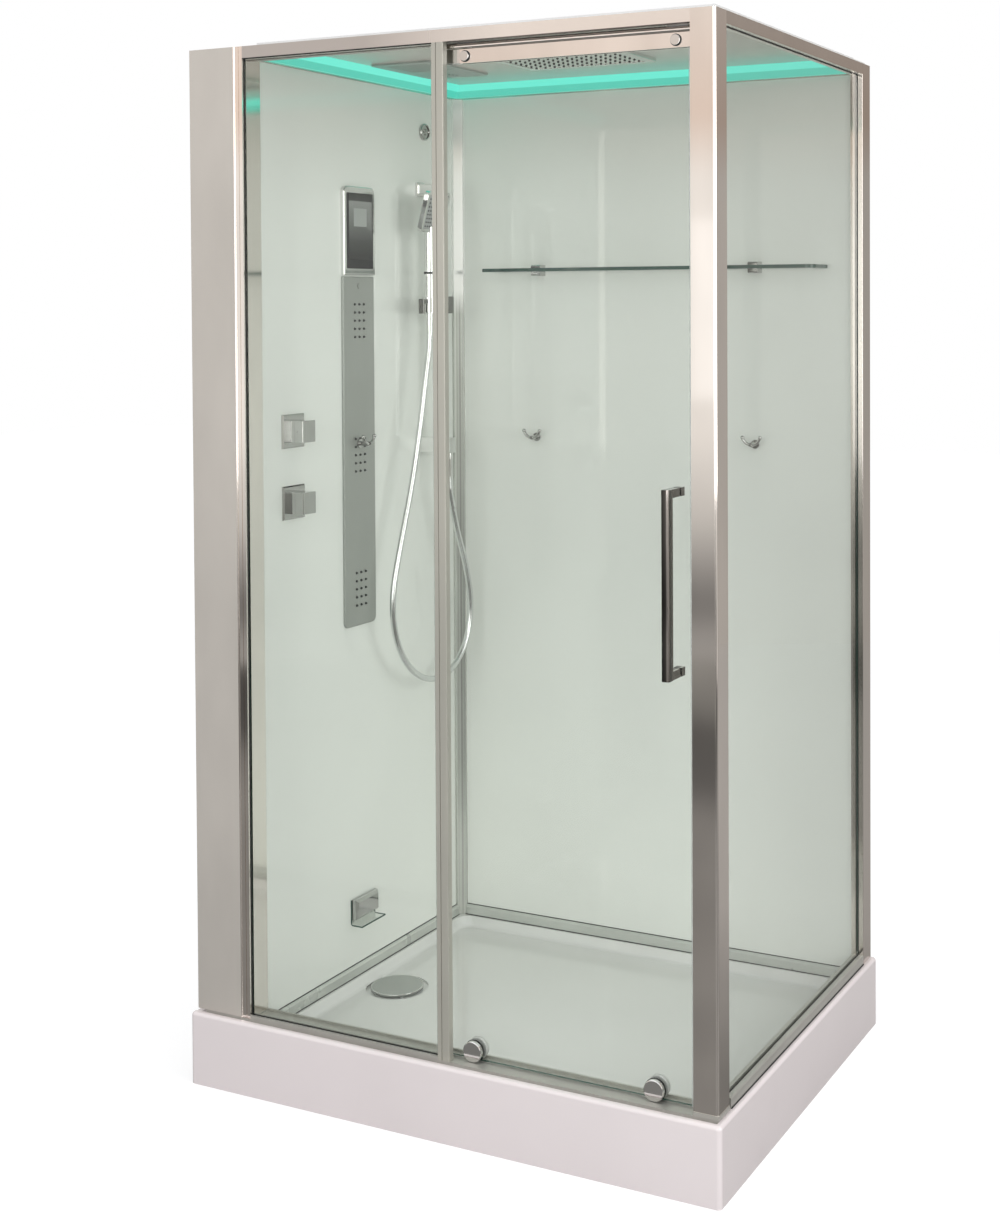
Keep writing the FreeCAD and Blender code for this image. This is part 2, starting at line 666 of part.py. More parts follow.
def support_bars():
    bars = []
    for y in BAR_ROWS:
        y0 = y - BAR_WIDTH / 2
        y1 = y + BAR_WIDTH / 2
        x0 = LEFT + BAR_END_GAP
        x1 = RIGHT - BAR_END_GAP
        bar = box(x0, x1, y0, y1, UNDERSIDE - BAR_HEIGHT, UNDERSIDE)
        bore = box(x0 - PAST, x1 + PAST, y0 + BAR_WALL, y1 - BAR_WALL,
                   UNDERSIDE - BAR_HEIGHT + BAR_WALL, UNDERSIDE - BAR_WALL)
        bars.append(bar.cut(bore))
    return bars


def hexagon(x, y, z0, z1, radius):
    corners = []
    for step in range(6):
        angle = math.radians(60 * step)
        corners.append((x + radius * math.cos(angle), y + radius * math.sin(angle)))
    return extrude_z(corners, z0, z1)


def levelling_feet():
    feet = []
    top = UNDERSIDE - BAR_HEIGHT
    for y in BAR_ROWS:
        for x in FOOT_COLUMNS:
            pad = Part.makeCone(FOOT_PAD_RADIUS, FOOT_NUT_RADIUS, FOOT_PAD_HEIGHT, V(x, y, 0))
            stem = rod_z(FOOT_STEM_RADIUS, x, y, 0, top)
            nut = hexagon(x, y, top - FOOT_NUT_HEIGHT, top, FOOT_NUT_RADIUS)
            feet.append(fuse([pad, stem, nut]))
    return feet


def waste_trap():
    flange = rod_z(TRAP_FLANGE_RADIUS, DRAIN_X, DRAIN_Y, UNDERSIDE - TRAP_FLANGE_THICKNESS, UNDERSIDE)
    cup = rod_z(TRAP_CUP_RADIUS, DRAIN_X, DRAIN_Y, TRAP_BOTTOM, UNDERSIDE - TRAP_FLANGE_THICKNESS)
    end = LEFT + WASTE_END_MARGIN
    stop = end + WASTE_SOCKET
    spigot = rod_x(WASTE_RADIUS, end, DRAIN_X, DRAIN_Y, WASTE_HEIGHT)
    shoulder = rod_x(WASTE_RADIUS + WASTE_SHOULDER_RISE, stop, stop + WASTE_SHOULDER, DRAIN_Y, WASTE_HEIGHT)
    inside = rod_z(TRAP_CUP_RADIUS - TRAP_WALL, DRAIN_X, DRAIN_Y, TRAP_BOTTOM + TRAP_WALL, UNDERSIDE + PAST)
    bore = rod_x(WASTE_RADIUS - TRAP_WALL, LEFT, DRAIN_X, DRAIN_Y, WASTE_HEIGHT)
    return fuse([flange, cup, spigot, shoulder]).cut(inside).cut(bore)


def drain_cover():
    top = DRAIN_SEAT + DRAIN_COVER_FOOT + DRAIN_COVER_THICKNESS
    plate = rod_z(DRAIN_COVER_RADIUS, DRAIN_X, DRAIN_Y, DRAIN_SEAT + DRAIN_COVER_FOOT, top)
    rim = face_edges(plate, lambda c: close(c.z, top))
    plate = plate.makeFillet(DRAIN_COVER_THICKNESS / 3, rim)
    feet = []
    reach = (DRAIN_HOLE_RADIUS + DRAIN_COVER_RADIUS) / 2
    for step in range(DRAIN_FOOT_COUNT):
        angle = 2 * math.pi * (step + 0.5) / DRAIN_FOOT_COUNT
        x = DRAIN_X + reach * math.cos(angle)
        y = DRAIN_Y + reach * math.sin(angle)
        feet.append(rod_z(DRAIN_FOOT_RADIUS, x, y, DRAIN_SEAT, DRAIN_SEAT + DRAIN_COVER_FOOT))
    return fuse([plate] + feet)


def front_base_rail():
    inner = TRACK_REAR - BASE_REAR_WALL
    section = [
        (FRAME_FRONT, SEAT), (FRAME_FRONT, POST_FOOT), (STILE_BACK, POST_FOOT), (STILE_BACK, TRACK_FLOOR),
        (inner, TRACK_FLOOR), (inner, SEAT + BASE_REAR_UPSTAND), (TRACK_REAR, SEAT + BASE_REAR_UPSTAND),
        (TRACK_REAR, SEAT),
    ]
    rail = extrude_x(section, FRAME_LEFT + BASE_START, POST_LEFT)
    shoe = box(POST_LEFT, FRAME_RIGHT, FRAME_FRONT, TRACK_REAR, SEAT, POST_FOOT)
    jamb_foot = box(FRAME_LEFT + BASE_START, JAMB_RIGHT, STILE_BACK, TRACK_REAR, TRACK_FLOOR, POST_FOOT)
    jamb_top = box(FRAME_LEFT, JAMB_RIGHT, FRAME_FRONT, TRACK_REAR + PAST, POST_FOOT, BEAD_TOP)
    return fuse([rail.cut(jamb_top), shoe, jamb_foot])


def right_base_rail():
    top = SEAT + SIDE_RAIL_HEIGHT
    rail = box(SIDE_LEFT, FRAME_RIGHT, TRACK_REAR, REAR_POST_FRONT, SEAT, top)
    slot = box(SIDE_INNER - GLASS_SIDE_GAP, SIDE_OUTER + GLASS_SIDE_GAP, TRACK_REAR - PAST,
               REAR_POST_FRONT + PAST, SEAT + SIDE_SLOT_FLOOR, top + PAST)
    rail = rail.makeChamfer(PROFILE_WALL, edges_along(rail, V(0, 1, 0), lambda c: close(c.z, top)))
    return rail.cut(slot)


def fixed_glass_bead():
    bead = box(JAMB_RIGHT, STILE_LEFT, FRAME_FRONT, STILE_BACK, POST_FOOT, BEAD_TOP)
    slot = box(JAMB_RIGHT - PAST, STILE_LEFT + PAST, FIXED_FRONT - GLASS_SIDE_GAP, FIXED_BACK + GLASS_SIDE_GAP,
               POST_FOOT + BEAD_FLOOR, BEAD_TOP + PAST)
    return bead.cut(slot)


def foot_section(face, sign):
    """The skirting's section, from the wall's face into the cabin: across, up."""
    back = face - sign * FOOT_PROFILE_PROUD
    front = face + sign * FOOT_PROFILE_PROUD
    top = LEDGE_HEIGHT + FOOT_PROFILE_HEIGHT
    floor = LEDGE_HEIGHT + FOOT_PROFILE_FLOOR
    panel_face = face + sign * GLASS_SIDE_GAP
    panel_back = face - sign * (GLASS + GLASS_SIDE_GAP)
    return [
        (back, LEDGE_HEIGHT), (front, LEDGE_HEIGHT), (front, top - FOOT_PROFILE_BEVEL),
        (front - sign * FOOT_PROFILE_BEVEL, top), (panel_face, top), (panel_face, floor),
        (panel_back, floor), (panel_back, top), (back, top),
    ]


def wall_foot_profiles():
    left = extrude_y(foot_section(WALL_X, 1), TRACK_REAR, WALL_Y - CORNER_LEG)
    back = extrude_x(foot_section(WALL_Y, -1), WALL_X + CORNER_LEG, SIDE_LEFT)
    return [left, back]


def column_cover():
    right = COLUMN_RIGHT - COLUMN_GAP
    cover = box(FRAME_LEFT, right, FRAME_FRONT, TRACK_REAR, POST_FOOT, FRAME_TOP)
    edge = edges_along(cover, V(0, 0, 1), lambda c: close(c.x, FRAME_LEFT) and close(c.y, FRAME_FRONT))
    cover = cover.makeFillet(COLUMN_EDGE_RADIUS, edge)
    inside = box(FRAME_LEFT + PROFILE_WALL, right - PROFILE_WALL, FRAME_FRONT + PROFILE_WALL, TRACK_REAR + PAST,
                 POST_FOOT - PAST, FRAME_TOP - PROFILE_WALL)
    return cover.cut(inside)


def left_jamb():
    jamb = box(COLUMN_RIGHT, JAMB_RIGHT, FRAME_FRONT, TRACK_REAR, POST_FOOT, FRAME_TOP)
    edge = edges_along(jamb, V(0, 0, 1), lambda c: close(c.x, COLUMN_RIGHT) and close(c.y, FRAME_FRONT))
    jamb = jamb.makeFillet(JAMB_EDGE_RADIUS, edge)
    slot_left = JAMB_RIGHT - GLASS_BITE
    slot = box(slot_left, JAMB_RIGHT + PAST, FIXED_FRONT - GLASS_SIDE_GAP, FIXED_BACK + GLASS_SIDE_GAP,
               POST_FOOT - PAST, FRAME_TOP - HEADER_HEIGHT + HEADER_SLOT_DEPTH)
    groove = box(slot_left - GROOVE_WIDTH, slot_left, FRAME_FRONT - PAST, FRAME_FRONT + GROOVE_DEPTH,
                 POST_FOOT - PAST, FRAME_TOP + PAST)
    inside = box(COLUMN_RIGHT + PROFILE_WALL, slot_left - PROFILE_WALL, FRAME_FRONT + 2 * PROFILE_WALL,
                 TRACK_REAR - PROFILE_WALL, POST_FOOT - PAST, FRAME_TOP - POST_TOP_PLUG)
    return jamb.cut(slot).cut(groove).cut(inside)


def corner_post():
    post = box(POST_LEFT, FRAME_RIGHT, FRAME_FRONT, POST_BACK, POST_FOOT, FRAME_TOP)
    edge = edges_along(post, V(0, 0, 1), lambda c: close(c.x, FRAME_RIGHT) and close(c.y, FRAME_FRONT))
    post = post.makeFillet(POST_EDGE_RADIUS, edge)
    slot = box(SIDE_INNER - GLASS_SIDE_GAP, SIDE_OUTER + GLASS_SIDE_GAP,
               POST_BACK - GLASS_BITE, POST_BACK + PAST,
               POST_FOOT - PAST, FRAME_TOP - HEADER_HEIGHT + HEADER_SLOT_DEPTH)
    inside = box(POST_LEFT + PROFILE_WALL, FRAME_RIGHT - PROFILE_WALL, FRAME_FRONT + PROFILE_WALL,
                 POST_BACK - GLASS_BITE - PROFILE_WALL, POST_FOOT - PAST, FRAME_TOP - POST_TOP_PLUG)
    inside = inside.makeFillet(POST_EDGE_RADIUS - PROFILE_WALL, edges_along(inside, V(0, 0, 1)))
    return post.cut(slot).cut(inside)


def rear_post():
    post = box(SIDE_LEFT, FRAME_RIGHT, REAR_POST_FRONT, FRAME_REAR, SEAT, FRAME_TOP)
    slot_back = REAR_POST_FRONT + GLASS_BITE
    slot = box(SIDE_INNER - GLASS_SIDE_GAP, SIDE_OUTER + GLASS_SIDE_GAP, REAR_POST_FRONT - PAST, slot_back,
               SEAT + SIDE_SLOT_FLOOR, FRAME_TOP - HEADER_HEIGHT + HEADER_SLOT_DEPTH)
    inside = box(SIDE_LEFT + PROFILE_WALL, FRAME_RIGHT - PROFILE_WALL, slot_back + PROFILE_WALL,
                 FRAME_REAR - PROFILE_WALL, SEAT - PAST, FRAME_TOP - POST_TOP_PLUG)
    post = post.makeFillet(PROFILE_EDGE, edges_along(post, V(0, 0, 1), lambda c: close(c.x, FRAME_RIGHT)))
    return post.cut(slot).cut(inside)


def inner_corner_profile():
    x1 = WALL_X + CORNER_LEG
    y0 = WALL_Y - CORNER_LEG
    outline = [
        (WALL_X, y0), (WALL_X + CORNER_LIP, y0), (x1, WALL_Y - CORNER_LIP), (x1, WALL_Y), (WALL_X, WALL_Y),
    ]
    return extrude_z(outline, LEDGE_HEIGHT, HEADER_BOTTOM)


def centre_stile():
    stile = box(STILE_LEFT, STILE_RIGHT, FRAME_FRONT, STILE_BACK, POST_FOOT, HEADER_BOTTOM)
    stile = stile.makeFillet(GROOVE_DEPTH, edges_along(stile, V(0, 0, 1), lambda c: close(c.x, STILE_RIGHT)))
    slot = box(STILE_LEFT - PAST, STILE_LEFT + GLASS_BITE, FIXED_FRONT - GLASS_SIDE_GAP,
               FIXED_BACK + GLASS_SIDE_GAP, POST_FOOT - PAST, HEADER_BOTTOM + PAST)
    groove_left = STILE_LEFT + STILE_GROOVE_INSET
    groove = box(groove_left, groove_left + GROOVE_WIDTH, FRAME_FRONT - PAST, FRAME_FRONT + GROOVE_DEPTH,
                 POST_FOOT - PAST, HEADER_BOTTOM + PAST)
    return stile.cut(slot).cut(groove)


def front_header():
    pocket_front = FIXED_FRONT - GASKET
    pocket_back = FIXED_BACK + GASKET
    pocket_top = HEADER_BOTTOM + HEADER_SLOT_DEPTH
    channel_front = pocket_back + PROFILE_WALL
    channel_back = TRACK_REAR - PROFILE_WALL
    channel_top = FRAME_TOP - PROFILE_WALL
    slot_front = DOOR_MIDDLE - TRACK_SLOT / 2
    slot_back = DOOR_MIDDLE + TRACK_SLOT / 2
    section = [
        (FRAME_FRONT, HEADER_BOTTOM), (pocket_front, HEADER_BOTTOM), (pocket_front, pocket_top),
        (pocket_back, pocket_top), (pocket_back, HEADER_BOTTOM), (slot_front, HEADER_BOTTOM),
        (slot_front, TRACK_FLANGE), (channel_front, TRACK_FLANGE), (channel_front, channel_top),
        (channel_back, channel_top), (channel_back, TRACK_FLANGE), (slot_back, TRACK_FLANGE),
        (slot_back, HEADER_BOTTOM), (TRACK_REAR, HEADER_BOTTOM), (TRACK_REAR, FRAME_TOP),
        (FRAME_FRONT, FRAME_TOP),
    ]
    return extrude_x(section, JAMB_RIGHT, POST_LEFT)


def right_header():
    slot_left = SIDE_INNER - GLASS_SIDE_GAP
    slot_right = SIDE_OUTER + GLASS_SIDE_GAP
    slot_top = HEADER_BOTTOM + HEADER_SLOT_DEPTH
    header = box(SIDE_LEFT, FRAME_RIGHT, POST_BACK, REAR_POST_FRONT, HEADER_BOTTOM, FRAME_TOP)
    slot = box(slot_left, slot_right, POST_BACK - PAST, REAR_POST_FRONT + PAST, HEADER_BOTTOM - PAST, slot_top)
    inside = box(SIDE_LEFT + PROFILE_WALL, FRAME_RIGHT - PROFILE_WALL, POST_BACK - PAST, REAR_POST_FRONT + PAST,
                 slot_top + PROFILE_WALL, FRAME_TOP - PROFILE_WALL)
    return header.cut(slot).cut(inside)


def wall_headers():
    z0 = HEADER_BOTTOM + PROFILE_WALL
    z1 = FRAME_TOP - PROFILE_WALL
    outer_x = JAMB_RIGHT - WALL_HEADER_WIDTH
    rear_y = WALL_Y + WALL_HEADER_WIDTH
    left = box(outer_x, JAMB_RIGHT, TRACK_REAR, rear_y, HEADER_BOTTOM, FRAME_TOP)
    left_bore = box(outer_x + PROFILE_WALL, JAMB_RIGHT - PROFILE_WALL, TRACK_REAR - PAST, rear_y + PAST, z0, z1)
    back = box(JAMB_RIGHT, SIDE_LEFT, WALL_Y, rear_y, HEADER_BOTTOM, FRAME_TOP)
    back_bore = box(JAMB_RIGHT - PAST, SIDE_LEFT + PAST, WALL_Y + PROFILE_WALL, rear_y - PROFILE_WALL, z0, z1)
    return [left.cut(left_bore), back.cut(back_bore)]


def fixed_glass():
    reach = GLASS_BITE - GLASS_EDGE_GAP
    top = HEADER_BOTTOM + GLASS_BITE
    return box(JAMB_RIGHT - reach, STILE_LEFT + reach, FIXED_FRONT, FIXED_BACK, POST_FOOT + BEAD_FLOOR, top)


def side_glass():
    reach = GLASS_BITE - GLASS_EDGE_GAP
    return box(SIDE_INNER, SIDE_OUTER, POST_BACK - reach, REAR_POST_FRONT + reach, SEAT + SIDE_SLOT_FLOOR,
               HEADER_BOTTOM + GLASS_BITE)


def left_wall_panel():
    bottom = LEDGE_HEIGHT + FOOT_PROFILE_FLOOR
    panel = box(WALL_BACK_X, WALL_X, TRACK_REAR, WALL_Y + GLASS, bottom, HEADER_BOTTOM)
    pipe_hole = PIPE_RADIUS + WALL_HOLE_GAP
    holes = [
        (VALVE_NECK_RADIUS + WALL_HOLE_GAP, VALVE_Y, DIVERTER_Z),
        (VALVE_NECK_RADIUS + WALL_HOLE_GAP, VALVE_Y, MIXER_Z),
        (pipe_hole, PANEL_Y, DIVERTER_Z),
        (pipe_hole, RAIL_Y, LOWER_BRACKET_Z),
        (pipe_hole, STEAM_Y, steam_pipe_height()),
    ]
    for radius, y, z in holes:
        panel = panel.cut(rod_x(radius, WALL_BACK_X - PAST, WALL_X + PAST, y, z))
    return panel


def back_wall_panel():
    return box(WALL_X, SIDE_LEFT, WALL_Y, WALL_Y + GLASS, LEDGE_HEIGHT + FOOT_PROFILE_FLOOR, HEADER_BOTTOM)


def roof_panel():
    x0 = JAMB_RIGHT
    x1 = SIDE_LEFT
    y0 = TRACK_REAR
    y1 = WALL_Y
    wall = ROOF_THICKNESS
    reach = ROOF_THICKNESS + ROOF_FLANGE
    pan = box(x0 - wall, x1 + wall, y0 - wall, y1 + wall, FRAME_TOP, ROOF_TOP)
    flange = box(x0 - reach, x1 + reach, y0 - reach, y1 + reach, FRAME_TOP, FRAME_TOP + wall)
    hollow = box(x0, x1, y0, y1, FRAME_TOP - PAST, CEILING)
    neck = rod_z(RAIN_NECK_RADIUS + WALL_HOLE_GAP, RAIN_X, RAIN_Y, CEILING - PAST, ROOF_TOP + PAST)
    return fuse([pan, flange]).cut(hollow).cut(neck)


def light_section(face, sign):
    """The diffuser's section: an upright face and a cove that meets the ceiling."""
    foot = CEILING - LIGHT_FACE - LIGHT_COVE
    front = face + sign * LIGHT_LEDGE
    return [
        (face, foot), (front, foot), (front, foot + LIGHT_FACE), (front + sign * LIGHT_COVE, CEILING),
        (face, CEILING),
    ]


def light_strips():
    reach = LIGHT_LEDGE + LIGHT_COVE
    corner = (JAMB_RIGHT, WALL_Y)
    mitre = (JAMB_RIGHT + reach, WALL_Y - reach)
    left = extrude_y(light_section(JAMB_RIGHT, 1), TRACK_REAR, WALL_Y)
    back = extrude_x(light_section(WALL_Y, -1), JAMB_RIGHT, SIDE_LEFT)
    left_bay = extrude_z([corner, mitre, (mitre[0], TRACK_REAR), (JAMB_RIGHT, TRACK_REAR)],
                         HEADER_BOTTOM, ROOF_TOP)
    back_bay = extrude_z([corner, mitre, (SIDE_LEFT, mitre[1]), (SIDE_LEFT, WALL_Y)], HEADER_BOTTOM, ROOF_TOP)
    return [left.common(left_bay), back.common(back_bay)]


def rain_head():
    half = RAIN_SIZE / 2
    face = CEILING - RAIN_THICKNESS
    inner = half - RAIN_FRAME
    head = box(RAIN_X - half, RAIN_X + half, RAIN_Y - half, RAIN_Y + half, face, CEILING)
    head = head.makeFillet(RAIN_EDGE_RADIUS, face_edges(head, lambda c: close(c.z, face)))
    recess = box(RAIN_X - inner, RAIN_X + inner, RAIN_Y - inner, RAIN_Y + inner,
                 face - PAST, face + RAIN_RECESS)
    neck = rod_z(RAIN_NECK_RADIUS, RAIN_X, RAIN_Y, CEILING, ROOF_TOP + RAIN_NECK_RISE)
    return fuse([head.cut(recess), neck])


def rain_nozzles():
    plate = CEILING - RAIN_THICKNESS + RAIN_RECESS
    pitch = (RAIN_SIZE - 2 * RAIN_FRAME) / RAIN_ROWS
    nozzles = []
    for row in range(RAIN_ROWS):
        for column in range(RAIN_ROWS):
            x = RAIN_X + pitch * (column - (RAIN_ROWS - 1) / 2)
            y = RAIN_Y + pitch * (row - (RAIN_ROWS - 1) / 2)
            nozzles.append(Part.makeCone(NOZZLE_BASE_RADIUS, NOZZLE_TIP_RADIUS, RAIN_NOZZLE_LENGTH,
                                         V(x, y, plate), V(0, 0, -1)))
    return nozzles


def jet_nozzles():
    nozzles = []
    for group in range(JET_GROUPS):
        top = PANEL_TOP - JET_TOP_DROP - JET_GROUP_DROP * group
        for row in range(JET_ROWS):
            for column in range(JET_COLUMNS):
                y = PANEL_Y + JET_PITCH_Y * (column - (JET_COLUMNS - 1) / 2)
                z = top - JET_PITCH_Z * row
                nozzles.append(Part.makeCone(NOZZLE_BASE_RADIUS, NOZZLE_TIP_RADIUS, JET_NOZZLE_LENGTH,
                                             V(PANEL_FACE, y, z), V(1, 0, 0)))
    return nozzles


def spray_nozzles():
    return rain_nozzles() + jet_nozzles()


def ceiling_grille():
    x0 = GRILLE_X - GRILLE_WIDTH / 2
    x1 = GRILLE_X + GRILLE_WIDTH / 2
    y0 = GRILLE_Y - GRILLE_LENGTH / 2
    y1 = GRILLE_Y + GRILLE_LENGTH / 2
    face = CEILING - GRILLE_THICKNESS
    plate = box(x0, x1, y0, y1, face, CEILING)
    plate = plate.makeFillet(GRILLE_CORNER, edges_along(plate, V(0, 0, 1)))
    cuts = []
    for step in range(GRILLE_SLOTS):
        y = y0 + GRILLE_SLOT_START + GRILLE_SLOT_PITCH * step
        half = GRILLE_SLOT_LENGTH / 2
        cuts.append(box(GRILLE_X - half, GRILLE_X + half, y, y + GRILLE_SLOT_WIDTH,
                        face - PAST, CEILING + PAST))
    for x, y in ring_pattern(GRILLE_HOLE_PITCH, 2):
        cuts.append(rod_z(GRILLE_HOLE_RADIUS, GRILLE_X + x, y1 - GRILLE_ROUND_INSET + y, face - PAST,
                          CEILING + PAST))
    return plate.cut(Part.makeCompound(cuts))


def ring_pattern(pitch, rings):
    """Points at a centre and on rings round it, six more on each ring."""
    points = [(0.0, 0.0)]
    for ring in range(1, rings + 1):
        count = 6 * ring
        for step in range(count):
            angle = 2 * math.pi * step / count
            points.append((pitch * ring * math.cos(angle), pitch * ring * math.sin(angle)))
    return points


def wall_speaker():
    face = WALL_X + SPEAKER_THICKNESS
    disc = rod_x(SPEAKER_RADIUS, WALL_X, face, SPEAKER_Y, SPEAKER_Z)
    disc = disc.makeFillet(SPEAKER_DISH, face_edges(disc, lambda c: close(c.x, face)))
    dish = rod_x(SPEAKER_RADIUS - SPEAKER_RIM, face - SPEAKER_DISH, face + PAST, SPEAKER_Y, SPEAKER_Z)
    cuts = [dish]
    for y, z in ring_pattern(SPEAKER_HOLE_PITCH, 1):
        cuts.append(rod_x(SPEAKER_HOLE_RADIUS, WALL_X + SPEAKER_DISH, face, SPEAKER_Y + y, SPEAKER_Z + z))
    return disc.cut(Part.makeCompound(cuts))


def shower_panel():
    y0 = PANEL_Y - PANEL_WIDTH / 2
    y1 = PANEL_Y + PANEL_WIDTH / 2
    panel = box(WALL_X, PANEL_FACE, y0, y1, PANEL_BOTTOM, PANEL_TOP)
    panel = panel.makeFillet(PANEL_CORNER, edges_along(panel, V(1, 0, 0), lambda c: close(c.z, PANEL_BOTTOM)))
    panel = panel.makeFillet(PANEL_EDGE, face_edges(panel, lambda c: close(c.x, PANEL_FACE)))
    sensor = rod_x(SENSOR_RADIUS, PANEL_FACE, PANEL_FACE + SENSOR_HEIGHT, PANEL_Y, PANEL_TOP - SENSOR_DROP)
    return fuse([panel, sensor])


def control_head():
    y0 = PANEL_Y - PANEL_WIDTH / 2
    y1 = PANEL_Y + PANEL_WIDTH / 2
    top = HEAD_BOTTOM + HEAD_HEIGHT
    head = box(WALL_X, HEAD_FACE, y0, y1, HEAD_BOTTOM, top)
    head = head.makeFillet(HEAD_CORNER, edges_along(head, V(1, 0, 0), lambda c: close(c.z, top)))
    head = head.makeFillet(PANEL_EDGE, face_edges(head, lambda c: close(c.x, HEAD_FACE)))
    half = SCREEN_WIDTH / 2 + SCREEN_GAP
    recess = box(HEAD_FACE - SCREEN_RECESS, HEAD_FACE + PAST, PANEL_Y - half, PANEL_Y + half,
                 SCREEN_BOTTOM - SCREEN_GAP, SCREEN_BOTTOM + SCREEN_HEIGHT + SCREEN_GAP)
    recess = recess.makeFillet(SCREEN_CORNER, edges_along(recess, V(1, 0, 0)))
    return head.cut(recess)


def control_screen():
    back = HEAD_FACE - SCREEN_RECESS
    half = SCREEN_WIDTH / 2
    screen = box(back, back + SCREEN_THICKNESS, PANEL_Y - half, PANEL_Y + half, SCREEN_BOTTOM,
                 SCREEN_BOTTOM + SCREEN_HEIGHT)
    return screen.makeFillet(SCREEN_CORNER, edges_along(screen, V(1, 0, 0)))


def valve_block(width, height, x0, x1, z):
    return box(x0, x1, VALVE_Y - width / 2, VALVE_Y + width / 2, z - height / 2, z + height / 2)


def valve_trims():
    trims = []
    for z in (DIVERTER_Z, MIXER_Z):
        plate = valve_block(VALVE_PLATE_WIDTH, VALVE_PLATE_HEIGHT, WALL_X, SLEEVE_BACK, z)
        plate = plate.makeChamfer(VALVE_PLATE_BEVEL, face_edges(plate, lambda c: close(c.x, SLEEVE_BACK)))
        sleeve = valve_block(SLEEVE_WIDTH, SLEEVE_HEIGHT, SLEEVE_BACK, SLEEVE_BACK + SLEEVE_LENGTH, z)
        sleeve = sleeve.makeFillet(KNOB_EDGE, edges_along(sleeve, V(1, 0, 0)))
        bore = rod_x(SPINDLE_RADIUS + RUNNING_GAP, SLEEVE_BACK, SLEEVE_BACK + SLEEVE_LENGTH + PAST, VALVE_Y, z)
        trims += [plate, sleeve.cut(bore)]
    return trims


def valve_knob(z, marked):
    face = KNOB_BACK + KNOB_LENGTH
    knob = valve_block(SLEEVE_WIDTH, SLEEVE_HEIGHT, KNOB_BACK, face, z)
    sharp = edges_along(knob, V(1, 0, 0)) + face_edges(knob, lambda c: close(c.x, face))
    knob = knob.makeFillet(KNOB_EDGE, sharp)
    spindle = rod_x(SPINDLE_RADIUS, KNOB_BACK - SPINDLE_LENGTH, KNOB_BACK, VALVE_Y, z)
    knob = fuse([knob, spindle])
    if marked:
        middle = KNOB_BACK + KNOB_LENGTH / 2
        side = VALVE_Y - SLEEVE_WIDTH / 2
        notch = box(middle - KNOB_MARK_WIDTH / 2, middle + KNOB_MARK_WIDTH / 2, side - PAST,
                    side + KNOB_MARK_DEPTH, z - KNOB_MARK_HEIGHT / 2, z + KNOB_MARK_HEIGHT / 2)
        knob = knob.cut(notch)
    return knob


def valve_bodies():
    bodies = []
    for z in (DIVERTER_Z, MIXER_Z):
        body = rod_x(VALVE_BODY_RADIUS, WALL_BACK_X - VALVE_BODY_LENGTH, WALL_BACK_X, VALVE_Y, z)
        neck = rod_x(VALVE_NECK_RADIUS, WALL_BACK_X, WALL_X, VALVE_Y, z)
        bodies.append(fuse([body, neck]))
    return bodies


def steam_pipe_height():
    return STEAM_BOTTOM + GUARD_HEIGHT - STEAM_HOOD_HEIGHT / 2


def generator_back():
    return PIPE_X - INLET_SPREAD - ELBOW_RADIUS - GENERATOR_PIPE_GAP


def elbow(x, y, z):
    return rod_z(ELBOW_RADIUS, x, y, z - ELBOW_RADIUS, z + ELBOW_RADIUS)


